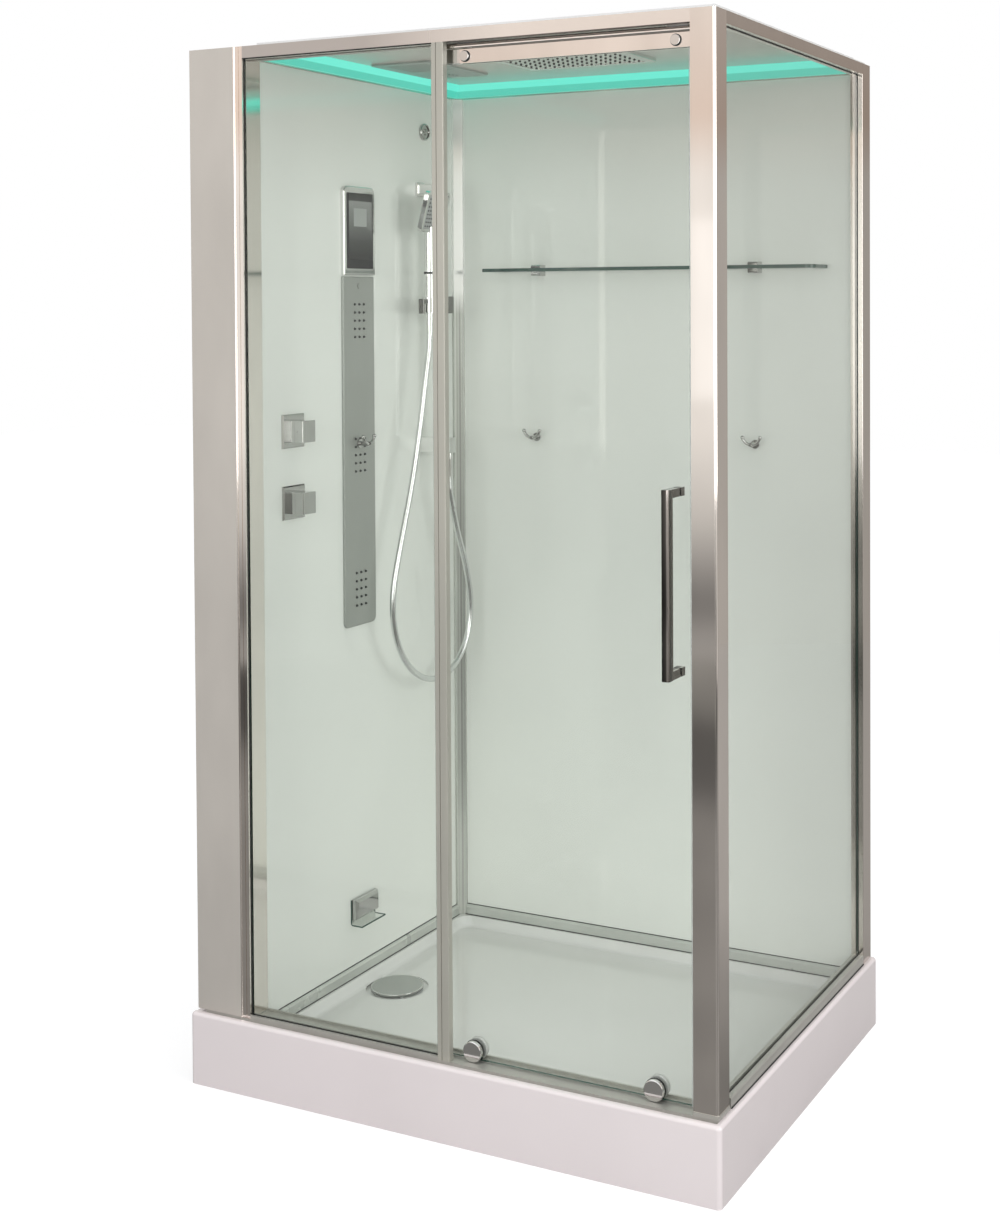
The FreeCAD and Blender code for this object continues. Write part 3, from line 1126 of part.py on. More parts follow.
def supply_pipes():
    """Straight runs and the fittings that join them, in the service space behind the left wall."""
    ring = ELBOW_RADIUS
    roof_z = ROOF_TOP + ROOF_PIPE_RISE
    crossing_z = ROOF_TOP - ROOF_PIPE_CROSSING
    steam_z = steam_pipe_height()
    steam_x = generator_back() - GENERATOR_DEPTH / 2
    steam_y = GENERATOR_Y - GENERATOR_WIDTH / 4
    fittings = [
        elbow(PIPE_X, VALVE_Y, crossing_z),
        elbow(PIPE_X, RAIN_Y, crossing_z),
        elbow(PIPE_X, RAIN_Y, roof_z),
        rod_z(ring, RAIN_X, RAIN_Y, ROOF_TOP + RAIN_NECK_RISE, roof_z + ring),
        elbow(PIPE_X, PANEL_Y, DIVERTER_Z),
        elbow(PIPE_X, RAIL_Y, MIXER_Z),
        elbow(PIPE_X, RAIL_Y, LOWER_BRACKET_Z),
        elbow(steam_x, steam_y, steam_z),
        elbow(steam_x, STEAM_Y, steam_z),
    ]
    runs = [
        rod_z(PIPE_RADIUS, PIPE_X, VALVE_Y, MIXER_Z, DIVERTER_Z),
        rod_z(PIPE_RADIUS, PIPE_X, VALVE_Y, DIVERTER_Z, crossing_z),
        rod_y(PIPE_RADIUS, PIPE_X, VALVE_Y, RAIN_Y, crossing_z),
        rod_z(PIPE_RADIUS, PIPE_X, RAIN_Y, crossing_z, roof_z),
        rod_x(PIPE_RADIUS, PIPE_X, RAIN_X, RAIN_Y, roof_z),
        rod_y(PIPE_RADIUS, PIPE_X, VALVE_Y, PANEL_Y, DIVERTER_Z),
        rod_x(PIPE_RADIUS, PIPE_X, WALL_X, PANEL_Y, DIVERTER_Z),
        rod_y(PIPE_RADIUS, PIPE_X, VALVE_Y, RAIL_Y, MIXER_Z),
        rod_z(PIPE_RADIUS, PIPE_X, RAIL_Y, MIXER_Z, LOWER_BRACKET_Z),
        rod_x(PIPE_RADIUS, PIPE_X, WALL_X, RAIL_Y, LOWER_BRACKET_Z),
        rod_z(PIPE_RADIUS, steam_x, steam_y, steam_z, GENERATOR_BOTTOM),
        rod_y(PIPE_RADIUS, steam_x, STEAM_Y, steam_y, steam_z),
        rod_x(PIPE_RADIUS, steam_x, WALL_X + GUARD_THICKNESS, STEAM_Y, steam_z),
    ]
    inlet_back = BACK - INLET_REACH
    for x, z in inlet_places():
        fittings.append(elbow(x, VALVE_Y, z))
        fittings.append(rod_y(INLET_RADIUS, x, inlet_back - INLET_LENGTH, inlet_back, z))
        runs.append(rod_z(PIPE_RADIUS, x, VALVE_Y, z, MIXER_Z))
        runs.append(rod_y(PIPE_RADIUS, x, VALVE_Y, inlet_back, z))
    ends = Part.makeCompound(fittings + valve_bodies())
    return fittings + [run.cut(ends).Solids[0] for run in runs]


def inlet_places():
    """Where the hot and cold pipes drop from the mixer: x and the height of the inlet."""
    return ((PIPE_X - INLET_SPREAD, HOT_Z), (PIPE_X + INLET_SPREAD, COLD_Z))


def steam_generator():
    x1 = generator_back()
    x0 = x1 - GENERATOR_DEPTH
    y0 = GENERATOR_Y - GENERATOR_WIDTH / 2
    y1 = GENERATOR_Y + GENERATOR_WIDTH / 2
    top = GENERATOR_BOTTOM + GENERATOR_HEIGHT
    case = box(x0, x1, y0, y1, GENERATOR_BOTTOM, top)
    case = case.makeFillet(GENERATOR_EDGE, edges_along(case, V(1, 0, 0)))
    straps = []
    for z in (GENERATOR_BOTTOM + STRAP_INSET, top - STRAP_INSET - STRAP_HEIGHT):
        straps.append(box(x1, WALL_BACK_X, y0 + STRAP_INSET, y1 - STRAP_INSET, z, z + STRAP_HEIGHT))
    return fuse([case] + straps)


def steam_guard():
    y0 = STEAM_Y - GUARD_WIDTH / 2
    inner_x = WALL_X + GUARD_THICKNESS
    inner_z = STEAM_BOTTOM + GUARD_THICKNESS
    top = STEAM_BOTTOM + GUARD_HEIGHT
    outline = [
        (WALL_X, STEAM_BOTTOM), (WALL_X + GUARD_REACH, STEAM_BOTTOM), (WALL_X + GUARD_REACH, inner_z),
        (inner_x, inner_z), (inner_x, top), (WALL_X, top),
    ]
    guard = extrude_y(outline, y0, y0 + GUARD_WIDTH)
    bend = edges_along(guard, V(0, 1, 0), lambda c: close(c.x, WALL_X) and close(c.z, STEAM_BOTTOM))
    guard = guard.makeFillet(GUARD_BEND, bend)
    hole = rod_x(PIPE_RADIUS + WALL_HOLE_GAP, WALL_X - PAST, inner_x + PAST, STEAM_Y, steam_pipe_height())
    return guard.cut(hole)


def steam_outlet():
    back = WALL_X + GUARD_THICKNESS
    face = back + STEAM_HOOD_DEPTH
    top = STEAM_BOTTOM + GUARD_HEIGHT
    bottom = top - STEAM_HOOD_HEIGHT
    half = STEAM_HOOD_WIDTH / 2
    hood = box(back, face, STEAM_Y - half, STEAM_Y + half, bottom, top)
    hood = hood.makeChamfer(STEAM_HOOD_BEVEL, face_edges(hood, lambda c: close(c.x, face)))
    slot_half = STEAM_SLOT_WIDTH / 2
    slot = box(back - PAST, back + STEAM_SLOT_DEPTH, STEAM_Y - slot_half, STEAM_Y + slot_half, bottom - PAST,
               bottom + STEAM_SLOT_HEIGHT + PIPE_RADIUS + WALL_HOLE_GAP)
    return hood.cut(slot)


def riser_rail():
    return rod_z(RAIL_RADIUS, RAIL_X, RAIL_Y, RAIL_BOTTOM, RAIL_TOP)


def rail_bracket(z, width, height, nose):
    rosette = box(WALL_X, WALL_X + ROSETTE_THICKNESS, RAIL_Y - ROSETTE_SIZE / 2, RAIL_Y + ROSETTE_SIZE / 2,
                  z - ROSETTE_SIZE / 2, z + ROSETTE_SIZE / 2)
    front = face_edges(rosette, lambda c: close(c.x, WALL_X + ROSETTE_THICKNESS))
    rosette = rosette.makeChamfer(PROFILE_EDGE, front)
    arm = box(WALL_X + ROSETTE_THICKNESS, nose, RAIL_Y - width / 2, RAIL_Y + width / 2, z - height / 2,
              z + height / 2)
    arm = arm.makeFillet(PROFILE_EDGE, edges_along(arm, V(1, 0, 0)))
    return fuse([rosette, arm])


def rail_brackets():
    bore = rod_z(RAIL_RADIUS + RUNNING_GAP, RAIL_X, RAIL_Y, RAIL_BOTTOM - PAST, RAIL_TOP + PAST)
    upper = rail_bracket(UPPER_BRACKET_Z, UPPER_ARM_WIDTH + PROFILE_WALL, UPPER_ARM_HEIGHT, RAIL_X + ARM_NOSE)
    lower = rail_bracket(LOWER_BRACKET_Z, LOWER_ARM_WIDTH, LOWER_ARM_HEIGHT, OUTLET_X + OUTLET_NOSE)
    outlet = rod_z(OUTLET_RADIUS, OUTLET_X, RAIL_Y, OUTLET_END, LOWER_BRACKET_Z - LOWER_ARM_HEIGHT / 2)
    return [upper.cut(bore), fuse([lower, outlet]).cut(bore)]


def slider():
    x0 = RAIL_X - SLIDER_DEPTH / 2
    x1 = x0 + SLIDER_WIDTH
    y0 = RAIL_Y - SLIDER_DEPTH / 2
    y1 = RAIL_Y + SLIDER_DEPTH / 2
    z0 = SLIDER_Z - SLIDER_HEIGHT / 2
    block = box(x0, x1, y0, y1, z0, z0 + SLIDER_HEIGHT)
    block = block.makeFillet(SLIDER_EDGE, edges_along(block, V(0, 0, 1)))
    arm_end = CRADLE_Y + CRADLE_RADIUS + PIVOT_RADIUS
    half = SLIDER_ARM_WIDTH / 2
    arm = box(CRADLE_X - half, CRADLE_X + half, arm_end, y0 + SLIDER_EDGE, SLIDER_Z - SLIDER_ARM_HEIGHT / 2,
              SLIDER_Z + SLIDER_ARM_HEIGHT / 2)
    arm = arm.makeFillet(PROFILE_WALL, edges_along(arm, V(0, 1, 0)))
    bore = rod_z(RAIL_RADIUS + SLIDER_FIT, RAIL_X, RAIL_Y, z0 - PAST, z0 + SLIDER_HEIGHT + PAST)
    pivot = rod_y(PIVOT_RADIUS + RUNNING_GAP, CRADLE_X, arm_end - PAST, arm_end + PIVOT_LENGTH + PAST, SLIDER_Z)
    return fuse([block, arm]).cut(bore).cut(pivot)


def handset_cradle():
    ring = rod_z(CRADLE_RADIUS, CRADLE_X, CRADLE_Y, CRADLE_BOTTOM, CRADLE_TOP)
    arm_end = CRADLE_Y + CRADLE_RADIUS + PIVOT_RADIUS
    collar = rod_y(PIVOT_COLLAR_RADIUS, CRADLE_X, CRADLE_Y, arm_end - CRADLE_GAP, SLIDER_Z)
    pin = rod_y(PIVOT_RADIUS, CRADLE_X, CRADLE_Y, arm_end + PIVOT_LENGTH, SLIDER_Z)
    half = LEVER_BOSS_WIDTH / 2
    boss = rod_x(LEVER_BOSS_RADIUS, CRADLE_X - half, CRADLE_X + half, LEVER_PIVOT_Y, LEVER_PIVOT_Z)
    web = box(CRADLE_X - half, CRADLE_X + half, LEVER_PIVOT_Y, CRADLE_Y, LEVER_PIVOT_Z - LEVER_PIN_RADIUS,
              LEVER_PIVOT_Z + LEVER_PIN_RADIUS)
    socket = Part.makeCone(CONE_BOTTOM_RADIUS + CRADLE_GAP, CONE_TOP_RADIUS + CRADLE_GAP, CRADLE_HEIGHT,
                           V(CRADLE_X, CRADLE_Y, CRADLE_BOTTOM))
    lever_bore = rod_x(LEVER_PIN_RADIUS + RUNNING_GAP, CRADLE_X - half - PAST, CRADLE_X + half + PAST,
                       LEVER_PIVOT_Y, LEVER_PIVOT_Z)
    return fuse([ring, collar, pin, boss, web]).cut(socket).cut(lever_bore)


def release_lever():
    inner = LEVER_BOSS_WIDTH / 2 + LEVER_GAP
    outer = inner + LEVER_CHEEK
    plate_back = LEVER_PIVOT_Y - LEVER_BOSS_RADIUS - LEVER_GAP
    plate_front = plate_back - LEVER_THICKNESS
    top = LEVER_PIVOT_Z + LEVER_TOP
    plate = box(CRADLE_X - outer, CRADLE_X + outer, plate_front, plate_back, top - LEVER_LENGTH, top)
    plate = plate.makeFillet(PROFILE_EDGE, edges_along(plate, V(0, 0, 1)))
    pieces = [plate]
    for x0 in (CRADLE_X - outer, CRADLE_X + inner):
        x1 = x0 + LEVER_CHEEK
        pieces.append(rod_x(LEVER_BOSS_RADIUS, x0, x1, LEVER_PIVOT_Y, LEVER_PIVOT_Z))
        pieces.append(box(x0, x1, plate_back - PAST, LEVER_PIVOT_Y, LEVER_PIVOT_Z - LEVER_PIN_RADIUS,
                          LEVER_PIVOT_Z + LEVER_PIN_RADIUS))
    pieces.append(rod_x(LEVER_PIN_RADIUS, CRADLE_X - outer, CRADLE_X + outer, LEVER_PIVOT_Y, LEVER_PIVOT_Z))
    return fuse(pieces)


def spray_plate():
    """The hand shower's square head, upright, its foot at the origin and its face to +X."""
    half = SPRAY_WIDTH / 2
    plate = box(-SPRAY_THICKNESS / 2, SPRAY_THICKNESS / 2, -half, half, 0, SPRAY_LENGTH)
    plate = plate.makeFillet(SPRAY_CORNER, edges_along(plate, V(1, 0, 0)))
    plate = plate.makeFillet(PROFILE_WALL, face_edges(plate, lambda c: c.x < 0))
    inner = half - SPRAY_BORDER
    recess = box(SPRAY_THICKNESS / 2 - SPRAY_RECESS, SPRAY_THICKNESS, -inner, inner, SPRAY_BORDER,
                 SPRAY_LENGTH - SPRAY_BORDER)
    return plate.cut(recess)


def handset():
    foot = V(CRADLE_X, CRADLE_Y, CRADLE_BOTTOM)
    cone = Part.makeCone(CONE_BOTTOM_RADIUS, CONE_TOP_RADIUS, CRADLE_HEIGHT, foot)
    nut = rod_z(HOSE_NUT_RADIUS, CRADLE_X, CRADLE_Y, HANDSET_END, CRADLE_BOTTOM)
    handle = rod_z(HANDLE_RADIUS, CRADLE_X, CRADLE_Y, CRADLE_TOP, HANDLE_TOP + HANDLE_RADIUS)
    ring = rod_z(HANDLE_RADIUS + RING_PROUD, CRADLE_X, CRADLE_Y, RING_Z, RING_Z + RING_HEIGHT)
    head = spray_plate()
    head.rotate(V(0, 0, 0), V(0, 1, 0), SPRAY_TILT)
    head.translate(V(CRADLE_X, CRADLE_Y, HANDLE_TOP))
    return fuse([cone, nut, handle, ring, head])


def hose_route():
    """The route's points: straight out of the outlet, the hanging loop, straight into the handset."""
    points = [V(OUTLET_X, RAIL_Y, OUTLET_END), V(OUTLET_X, RAIL_Y, OUTLET_END - HOSE_END_RUN)]
    points += [V(*point) for point in HOSE_ROUTE]
    end = HANDSET_END - HOSE_GAP
    points += [V(CRADLE_X, CRADLE_Y, end - HOSE_END_RUN), V(CRADLE_X, CRADLE_Y, end)]
    return points


def shower_hose():
    """A tube along straight runs joined by tangent arcs, each as large as its runs allow."""
    points = hose_route()
    edges = []
    radii = []
    start = points[0]
    for before, corner, after in zip(points, points[1:], points[2:]):
        into = corner.sub(before)
        out = after.sub(corner)
        reach = ARC_SHARE * min(into.Length, out.Length)
        turn = into.getAngle(out)
        radii.append(reach / math.tan(turn / 2))
        into.normalize()
        out.normalize()
        first = corner.sub(V(into).multiply(reach))
        last = corner.add(V(out).multiply(reach))
        inward = V(out).sub(into).normalize()
        sagitta = radii[-1] * (1 / math.cos(turn / 2) - 1)
        middle = corner.add(inward.multiply(sagitta))
        edges.append(Part.LineSegment(start, first).toShape())
        edges.append(Part.Arc(first, middle, last).toShape())
        start = last
    edges.append(Part.LineSegment(start, points[-1]).toShape())
    path = Part.Wire(edges)
    section = Part.Wire(Part.makeCircle(HOSE_RADIUS, points[0], points[1].sub(points[0])))
    tube = path.makePipeShell([section], True, False)
    print("hose length", round(path.Length), "radii", [round(radius) for radius in radii])
    print("hose volume share", round(tube.Volume / (math.pi * HOSE_RADIUS ** 2 * path.Length), 4))
    return tube


def glass_shelf():
    shelf = box(SHELF_LEFT, SHELF_RIGHT, WALL_Y - SHELF_DEPTH, WALL_Y - PAST,
                SHELF_Z, SHELF_Z + SHELF_THICKNESS)
    front = WALL_Y - SHELF_DEPTH
    return shelf.makeFillet(SHELF_CORNER, edges_along(shelf, V(0, 0, 1), lambda c: close(c.y, front)))


def shelf_clamps():
    clamps = []
    for x in CLAMP_COLUMNS:
        z0 = SHELF_Z - CLAMP_LIP
        z1 = SHELF_Z + SHELF_THICKNESS + CLAMP_LIP
        front = WALL_Y - CLAMP_DEPTH
        clamp = box(x - CLAMP_WIDTH / 2, x + CLAMP_WIDTH / 2, front, WALL_Y, z0, z1)
        clamp = clamp.makeFillet(CLAMP_EDGE, edges_along(clamp, V(1, 0, 0), lambda c: close(c.y, front)))
        slot = box(x - CLAMP_WIDTH, x + CLAMP_WIDTH, front - PAST, WALL_Y - PAST, SHELF_Z,
                   SHELF_Z + SHELF_THICKNESS + CLAMP_GAP)
        clamps.append(clamp.cut(slot))
    return clamps


def hook_arm_point(x, y, side, angle):
    """A point on the bend of a hook's arm, from its foot upwards."""
    reach = HOOK_ARM_BEND * math.sin(angle)
    rise = HOOK_ARM_BEND * (1 - math.cos(angle))
    return V(x + side * reach, y, HOOK_Z + rise)


def robe_hook(x):
    """A rose and stem with two arms that curl out and up."""
    nose = WALL_Y - HOOK_ROSE_THICKNESS - HOOK_STEM_LENGTH
    rose = rod_y(HOOK_ROSE_RADIUS, x, WALL_Y - HOOK_ROSE_THICKNESS, WALL_Y, HOOK_Z)
    stem = rod_y(HOOK_STEM_RADIUS, x, nose, WALL_Y - HOOK_ROSE_THICKNESS, HOOK_Z)
    knuckle = Part.makeSphere(HOOK_STEM_RADIUS, V(x, nose, HOOK_Z))
    pieces = [rose, stem, knuckle]
    sweep = math.radians(HOOK_ARM_SWEEP)
    for side in (-1, 1):
        foot = hook_arm_point(x, nose, side, 0)
        tip = hook_arm_point(x, nose, side, sweep)
        bend = Part.Arc(foot, hook_arm_point(x, nose, side, sweep / 2), tip).toShape()
        section = Part.Wire(Part.makeCircle(HOOK_ARM_RADIUS, foot, V(side, 0, 0)))
        pieces.append(Part.Wire(bend).makePipeShell([section], True, False))
        pieces.append(Part.makeSphere(HOOK_TIP_RADIUS, tip))
    return fuse(pieces)


def robe_hooks():
    return [robe_hook(x) for x in HOOK_COLUMNS]


def door_glass():
    pane = box(DOOR_LEFT, DOOR_RIGHT, DOOR_FRONT, DOOR_BACK, DOOR_BOTTOM, DOOR_TOP)
    for x in LOWER_COLUMNS:
        pane = pane.cut(rod_y(LOWER_AXLE_RADIUS + GLASS_HOLE_GAP, x, DOOR_FRONT - PAST, DOOR_BACK + PAST,
                              LOWER_WHEEL_Z))
    for z in STUD_HEIGHTS:
        pane = pane.cut(rod_y(STUD_RADIUS + GLASS_HOLE_GAP, HANDLE_X, DOOR_FRONT - PAST, DOOR_BACK + PAST, z))
    return pane


def door_top_rail():
    bar_back = TOP_RAIL_FRONT + TOP_RAIL_BAR_DEPTH
    bar = box(DOOR_LEFT + END_BLOCK_LENGTH, DOOR_RIGHT, TOP_RAIL_FRONT, bar_back, TOP_RAIL_BOTTOM,
              TOP_RAIL_SHOULDER)
    slot = box(DOOR_LEFT, DOOR_RIGHT + PAST, DOOR_FRONT - GLASS_SIDE_GAP, DOOR_BACK + GLASS_SIDE_GAP,
               TOP_RAIL_BOTTOM - PAST, DOOR_TOP)
    round_front = DOOR_MIDDLE - TOP_RAIL_ROUND_DEPTH / 2
    round_bar = box(DOOR_LEFT, DOOR_RIGHT, round_front, round_front + TOP_RAIL_ROUND_DEPTH, TOP_RAIL_SHOULDER,
                    TOP_RAIL_TOP)
    round_bar = round_bar.makeFillet(TOP_RAIL_ROUND_RADIUS, edges_along(round_bar, V(1, 0, 0)))
    return fuse([bar.cut(slot), round_bar])


def door_rail_caps():
    caps = []
    for x in UPPER_COLUMNS:
        cap = rod_y(CAP_RADIUS, x, TOP_RAIL_FRONT - CAP_THICKNESS, TOP_RAIL_FRONT,
                    (TOP_RAIL_BOTTOM + TOP_RAIL_SHOULDER) / 2)
        caps.append(cap.makeFillet(PROFILE_EDGE, face_edges(cap, lambda c: c.y < TOP_RAIL_FRONT - PAST)))
    front = TOP_RAIL_FRONT + END_BLOCK_SETBACK
    back = TOP_RAIL_FRONT + TOP_RAIL_BAR_DEPTH - END_BLOCK_SETBACK
    block = box(DOOR_LEFT, DOOR_LEFT + END_BLOCK_LENGTH, front, back, TOP_RAIL_BOTTOM + END_BLOCK_SETBACK,
                TOP_RAIL_SHOULDER)
    slot = box(DOOR_LEFT - PAST, DOOR_LEFT + END_BLOCK_LENGTH + PAST, DOOR_FRONT - GLASS_SIDE_GAP,
               DOOR_BACK + GLASS_SIDE_GAP, TOP_RAIL_BOTTOM - PAST, DOOR_TOP)
    caps.append(block.cut(slot))
    return caps


def roller_hangers():
    hangers = []
    y0 = DOOR_MIDDLE - HANGER_THICKNESS / 2
    top = FRAME_TOP - 2 * PROFILE_WALL
    for x in UPPER_COLUMNS:
        plate = box(x - HANGER_WIDTH / 2, x + HANGER_WIDTH / 2, y0, y0 + HANGER_THICKNESS, TOP_RAIL_TOP, top)
        bevels = edges_along(plate, V(0, 1, 0), lambda c: close(c.z, top))
        plate = plate.makeChamfer(TOP_RAIL_ROUND_RADIUS, bevels)
        bore = rod_y(UPPER_AXLE_RADIUS + RUNNING_GAP, x, y0 - PAST, y0 + HANGER_THICKNESS + PAST, UPPER_WHEEL_Z)
        hangers.append(plate.cut(bore))
    return hangers


def upper_wheels(x):
    """Two wheels on one axle, one each side of the hanger."""
    half = UPPER_WHEEL_OFFSET + UPPER_WHEEL_WIDTH / 2
    axle = rod_y(UPPER_AXLE_RADIUS, x, DOOR_MIDDLE - half, DOOR_MIDDLE + half, UPPER_WHEEL_Z)
    pieces = [axle]
    for side in (-1, 1):
        y0 = DOOR_MIDDLE + side * UPPER_WHEEL_OFFSET - UPPER_WHEEL_WIDTH / 2
        wheel = rod_y(UPPER_WHEEL_RADIUS, x, y0, y0 + UPPER_WHEEL_WIDTH, UPPER_WHEEL_Z)
        pieces.append(wheel.makeFillet(PROFILE_EDGE, wheel.Edges[0:1] + wheel.Edges[2:3]))
    return fuse(pieces)


def lower_roller_caps():
    """The chrome caps in front of the pane, each with its axle, collar and end disc."""
    caps = []
    cap_back = DOOR_FRONT - WASHER_THICKNESS
    cap_front = cap_back - LOWER_CAP_LENGTH
    retainer = LOWER_WHEEL_BACK + WHEEL_GAP
    for x in LOWER_COLUMNS:
        cap = rod_y(LOWER_CAP_RADIUS, x, cap_front, cap_back, LOWER_WHEEL_Z)
        cap = cap.makeChamfer(LOWER_CAP_BEVEL, face_edges(cap, lambda c: close(c.y, cap_front)))
        axle = rod_y(LOWER_AXLE_RADIUS, x, cap_back, retainer + RETAINER_LENGTH, LOWER_WHEEL_Z)
        collar = rod_y(COLLAR_RADIUS, x, DOOR_BACK, DOOR_BACK + COLLAR_LENGTH, LOWER_WHEEL_Z)
        end = rod_y(COLLAR_RADIUS, x, retainer, retainer + RETAINER_LENGTH, LOWER_WHEEL_Z)
        caps.append(fuse([cap, axle, collar, end]))
    return caps


def lower_wheel(x):
    """A grooved wheel behind the pane, turned about its axle."""
    bore = LOWER_AXLE_RADIUS + RUNNING_GAP
    rim = LOWER_WHEEL_RADIUS
    middle = (LOWER_WHEEL_FRONT + LOWER_WHEEL_BACK) / 2
    section = [
        (bore, LOWER_WHEEL_FRONT), (rim - PROFILE_EDGE, LOWER_WHEEL_FRONT),
        (rim, LOWER_WHEEL_FRONT + PROFILE_EDGE),
        (rim, middle - LOWER_WHEEL_GROOVE), (rim - LOWER_WHEEL_GROOVE, middle),
        (rim, middle + LOWER_WHEEL_GROOVE), (rim, LOWER_WHEEL_BACK - PROFILE_EDGE),
        (rim - PROFILE_EDGE, LOWER_WHEEL_BACK), (bore, LOWER_WHEEL_BACK),
    ]
    corners = [V(x + radius, y, LOWER_WHEEL_Z) for radius, y in section]
    face = Part.Face(Part.makePolygon(corners + corners[:1]))
    return face.revolve(V(x, 0, LOWER_WHEEL_Z), V(0, 1, 0), 360)


def door_handle():
    half = HANDLE_WIDTH / 2
    bar_back = DOOR_FRONT - HANDLE_STANDOFF
    bar_front = bar_back - HANDLE_BAR_DEPTH
    bar = box(HANDLE_X - half, HANDLE_X + half, bar_front, bar_back, HANDLE_BOTTOM, HANDLE_TOP_END)
    bar = bar.makeFillet(HANDLE_ROUND, edges_along(bar, V(0, 0, 1)))
    pieces = [bar]
    nuts = []
    for z in STUD_HEIGHTS:
        arm = box(HANDLE_X - half, HANDLE_X + half, bar_back - HANDLE_ROUND, DOOR_FRONT, z - half, z + half)
        pieces.append(arm.makeFillet(PROFILE_EDGE, edges_along(arm, V(0, 1, 0))))
        pieces.append(rod_y(STUD_RADIUS, HANDLE_X, DOOR_FRONT, DOOR_BACK + NUT_BORE, z))
        nut_half = NUT_SIZE / 2
        nut = box(HANDLE_X - nut_half, HANDLE_X + nut_half, DOOR_BACK, DOOR_BACK + NUT_LENGTH, z - nut_half,
                  z + nut_half)
        nut = nut.makeFillet(PROFILE_EDGE, face_edges(nut, lambda c: close(c.y, DOOR_BACK + NUT_LENGTH)))
        bore = rod_y(STUD_RADIUS + RUNNING_GAP, HANDLE_X, DOOR_BACK - PAST, DOOR_BACK + NUT_BORE, z)
        nuts.append(nut.cut(bore))
    return [fuse(pieces)] + nuts


def edge_seal(edge, side, reach, fin):
    """A strip that clips over an upright edge of the door: side is -1 on the left, 1 on the right."""
    inner = edge - side * GLASS_BITE
    outer = edge + side * reach
    front = DOOR_FRONT - SEAL_WALL
    back = DOOR_BACK + SEAL_WALL
    left = min(inner, outer)
    right = max(inner, outer)
    strip = box(left, right, front, back, DOOR_BOTTOM, TOP_RAIL_BOTTOM)
    slot = box(min(inner - side * PAST, edge), max(inner - side * PAST, edge), DOOR_FRONT, DOOR_BACK,
               DOOR_BOTTOM - PAST, TOP_RAIL_BOTTOM + PAST)
    strip = strip.cut(slot)
    if fin:
        wing = box(min(edge, outer), min(edge, outer) + SEAL_WALL, STILE_BACK + SEAL_FIN_GAP, front,
                   DOOR_BOTTOM, TOP_RAIL_BOTTOM)
        strip = fuse([strip, wing])
    return strip


def door_seals():
    seals = [edge_seal(DOOR_LEFT, -1, DOOR_SEAL, True), edge_seal(DOOR_RIGHT, 1, DOOR_SEAL, False)]
    for x in LOWER_COLUMNS:
        washer = rod_y(WASHER_RADIUS, x, DOOR_FRONT - WASHER_THICKNESS, DOOR_FRONT, LOWER_WHEEL_Z)
        bore = rod_y(LOWER_AXLE_RADIUS + WASHER_GAP, x, DOOR_FRONT - WASHER_THICKNESS - PAST, DOOR_FRONT + PAST,
                     LOWER_WHEEL_Z)
        seals.append(washer.cut(bore))
    return seals


def pieces():
    return {
        "shower_tray": shower_tray(),
        "support_bars": support_bars(),
        "levelling_feet": levelling_feet(),
        "waste_trap": waste_trap(),
        "drain_cover": drain_cover(),
        "front_base_rail": front_base_rail(),
        "right_base_rail": right_base_rail(),
        "fixed_glass_bead": fixed_glass_bead(),
        "wall_foot_profiles": wall_foot_profiles(),
        "column_cover": column_cover(),
        "left_jamb": left_jamb(),
        "corner_post": corner_post(),
        "rear_post": rear_post(),
        "inner_corner_profile": inner_corner_profile(),
        "centre_stile": centre_stile(),
        "front_header": front_header(),
        "right_header": right_header(),
        "wall_headers": wall_headers(),
        "fixed_glass": fixed_glass(),
        "side_glass": side_glass(),
        "left_wall_panel": left_wall_panel(),
        "back_wall_panel": back_wall_panel(),
        "roof_panel": roof_panel(),
        "light_strips": light_strips(),
        "rain_head": rain_head(),
        "spray_nozzles": spray_nozzles(),
        "ceiling_grille": ceiling_grille(),
        "wall_speaker": wall_speaker(),
        "shower_panel": shower_panel(),
        "control_head": control_head(),
        "control_screen": control_screen(),
        "valve_trims": valve_trims(),
        "valve_bodies": valve_bodies(),
        "diverter_knob": valve_knob(DIVERTER_Z, True),
        "mixer_knob": valve_knob(MIXER_Z, False),
        "supply_pipes": supply_pipes(),
        "steam_generator": steam_generator(),
        "steam_guard": steam_guard(),
        "steam_outlet": steam_outlet(),
        "riser_rail": riser_rail(),
        "rail_brackets": rail_brackets(),
        "slider": slider(),
        "handset_cradle": handset_cradle(),
        "release_lever": release_lever(),
        "handset": handset(),
        "shower_hose": shower_hose(),
        "glass_shelf": glass_shelf(),
        "shelf_clamps": shelf_clamps(),
        "robe_hooks": robe_hooks(),
        "door_glass": door_glass(),
        "door_top_rail": door_top_rail(),
        "door_rail_caps": door_rail_caps(),
        "roller_hangers": roller_hangers(),
        "upper_wheels_left": upper_wheels(UPPER_COLUMNS[0]),
        "upper_wheels_right": upper_wheels(UPPER_COLUMNS[1]),
        "lower_roller_caps": lower_roller_caps(),
        "lower_wheel_left": lower_wheel(LOWER_COLUMNS[0]),
        "lower_wheel_right": lower_wheel(LOWER_COLUMNS[1]),
        "door_handle": door_handle(),
        "door_seals": door_seals(),
    }


os.makedirs("parts", exist_ok=True)
for name, shape in pieces().items():
    if isinstance(shape, list):
        shape = Part.makeCompound(shape)
    shape.exportStep("parts/" + name + ".step")
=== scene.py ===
import math

import bmesh
import bpy
from mathutils import Matrix, Vector


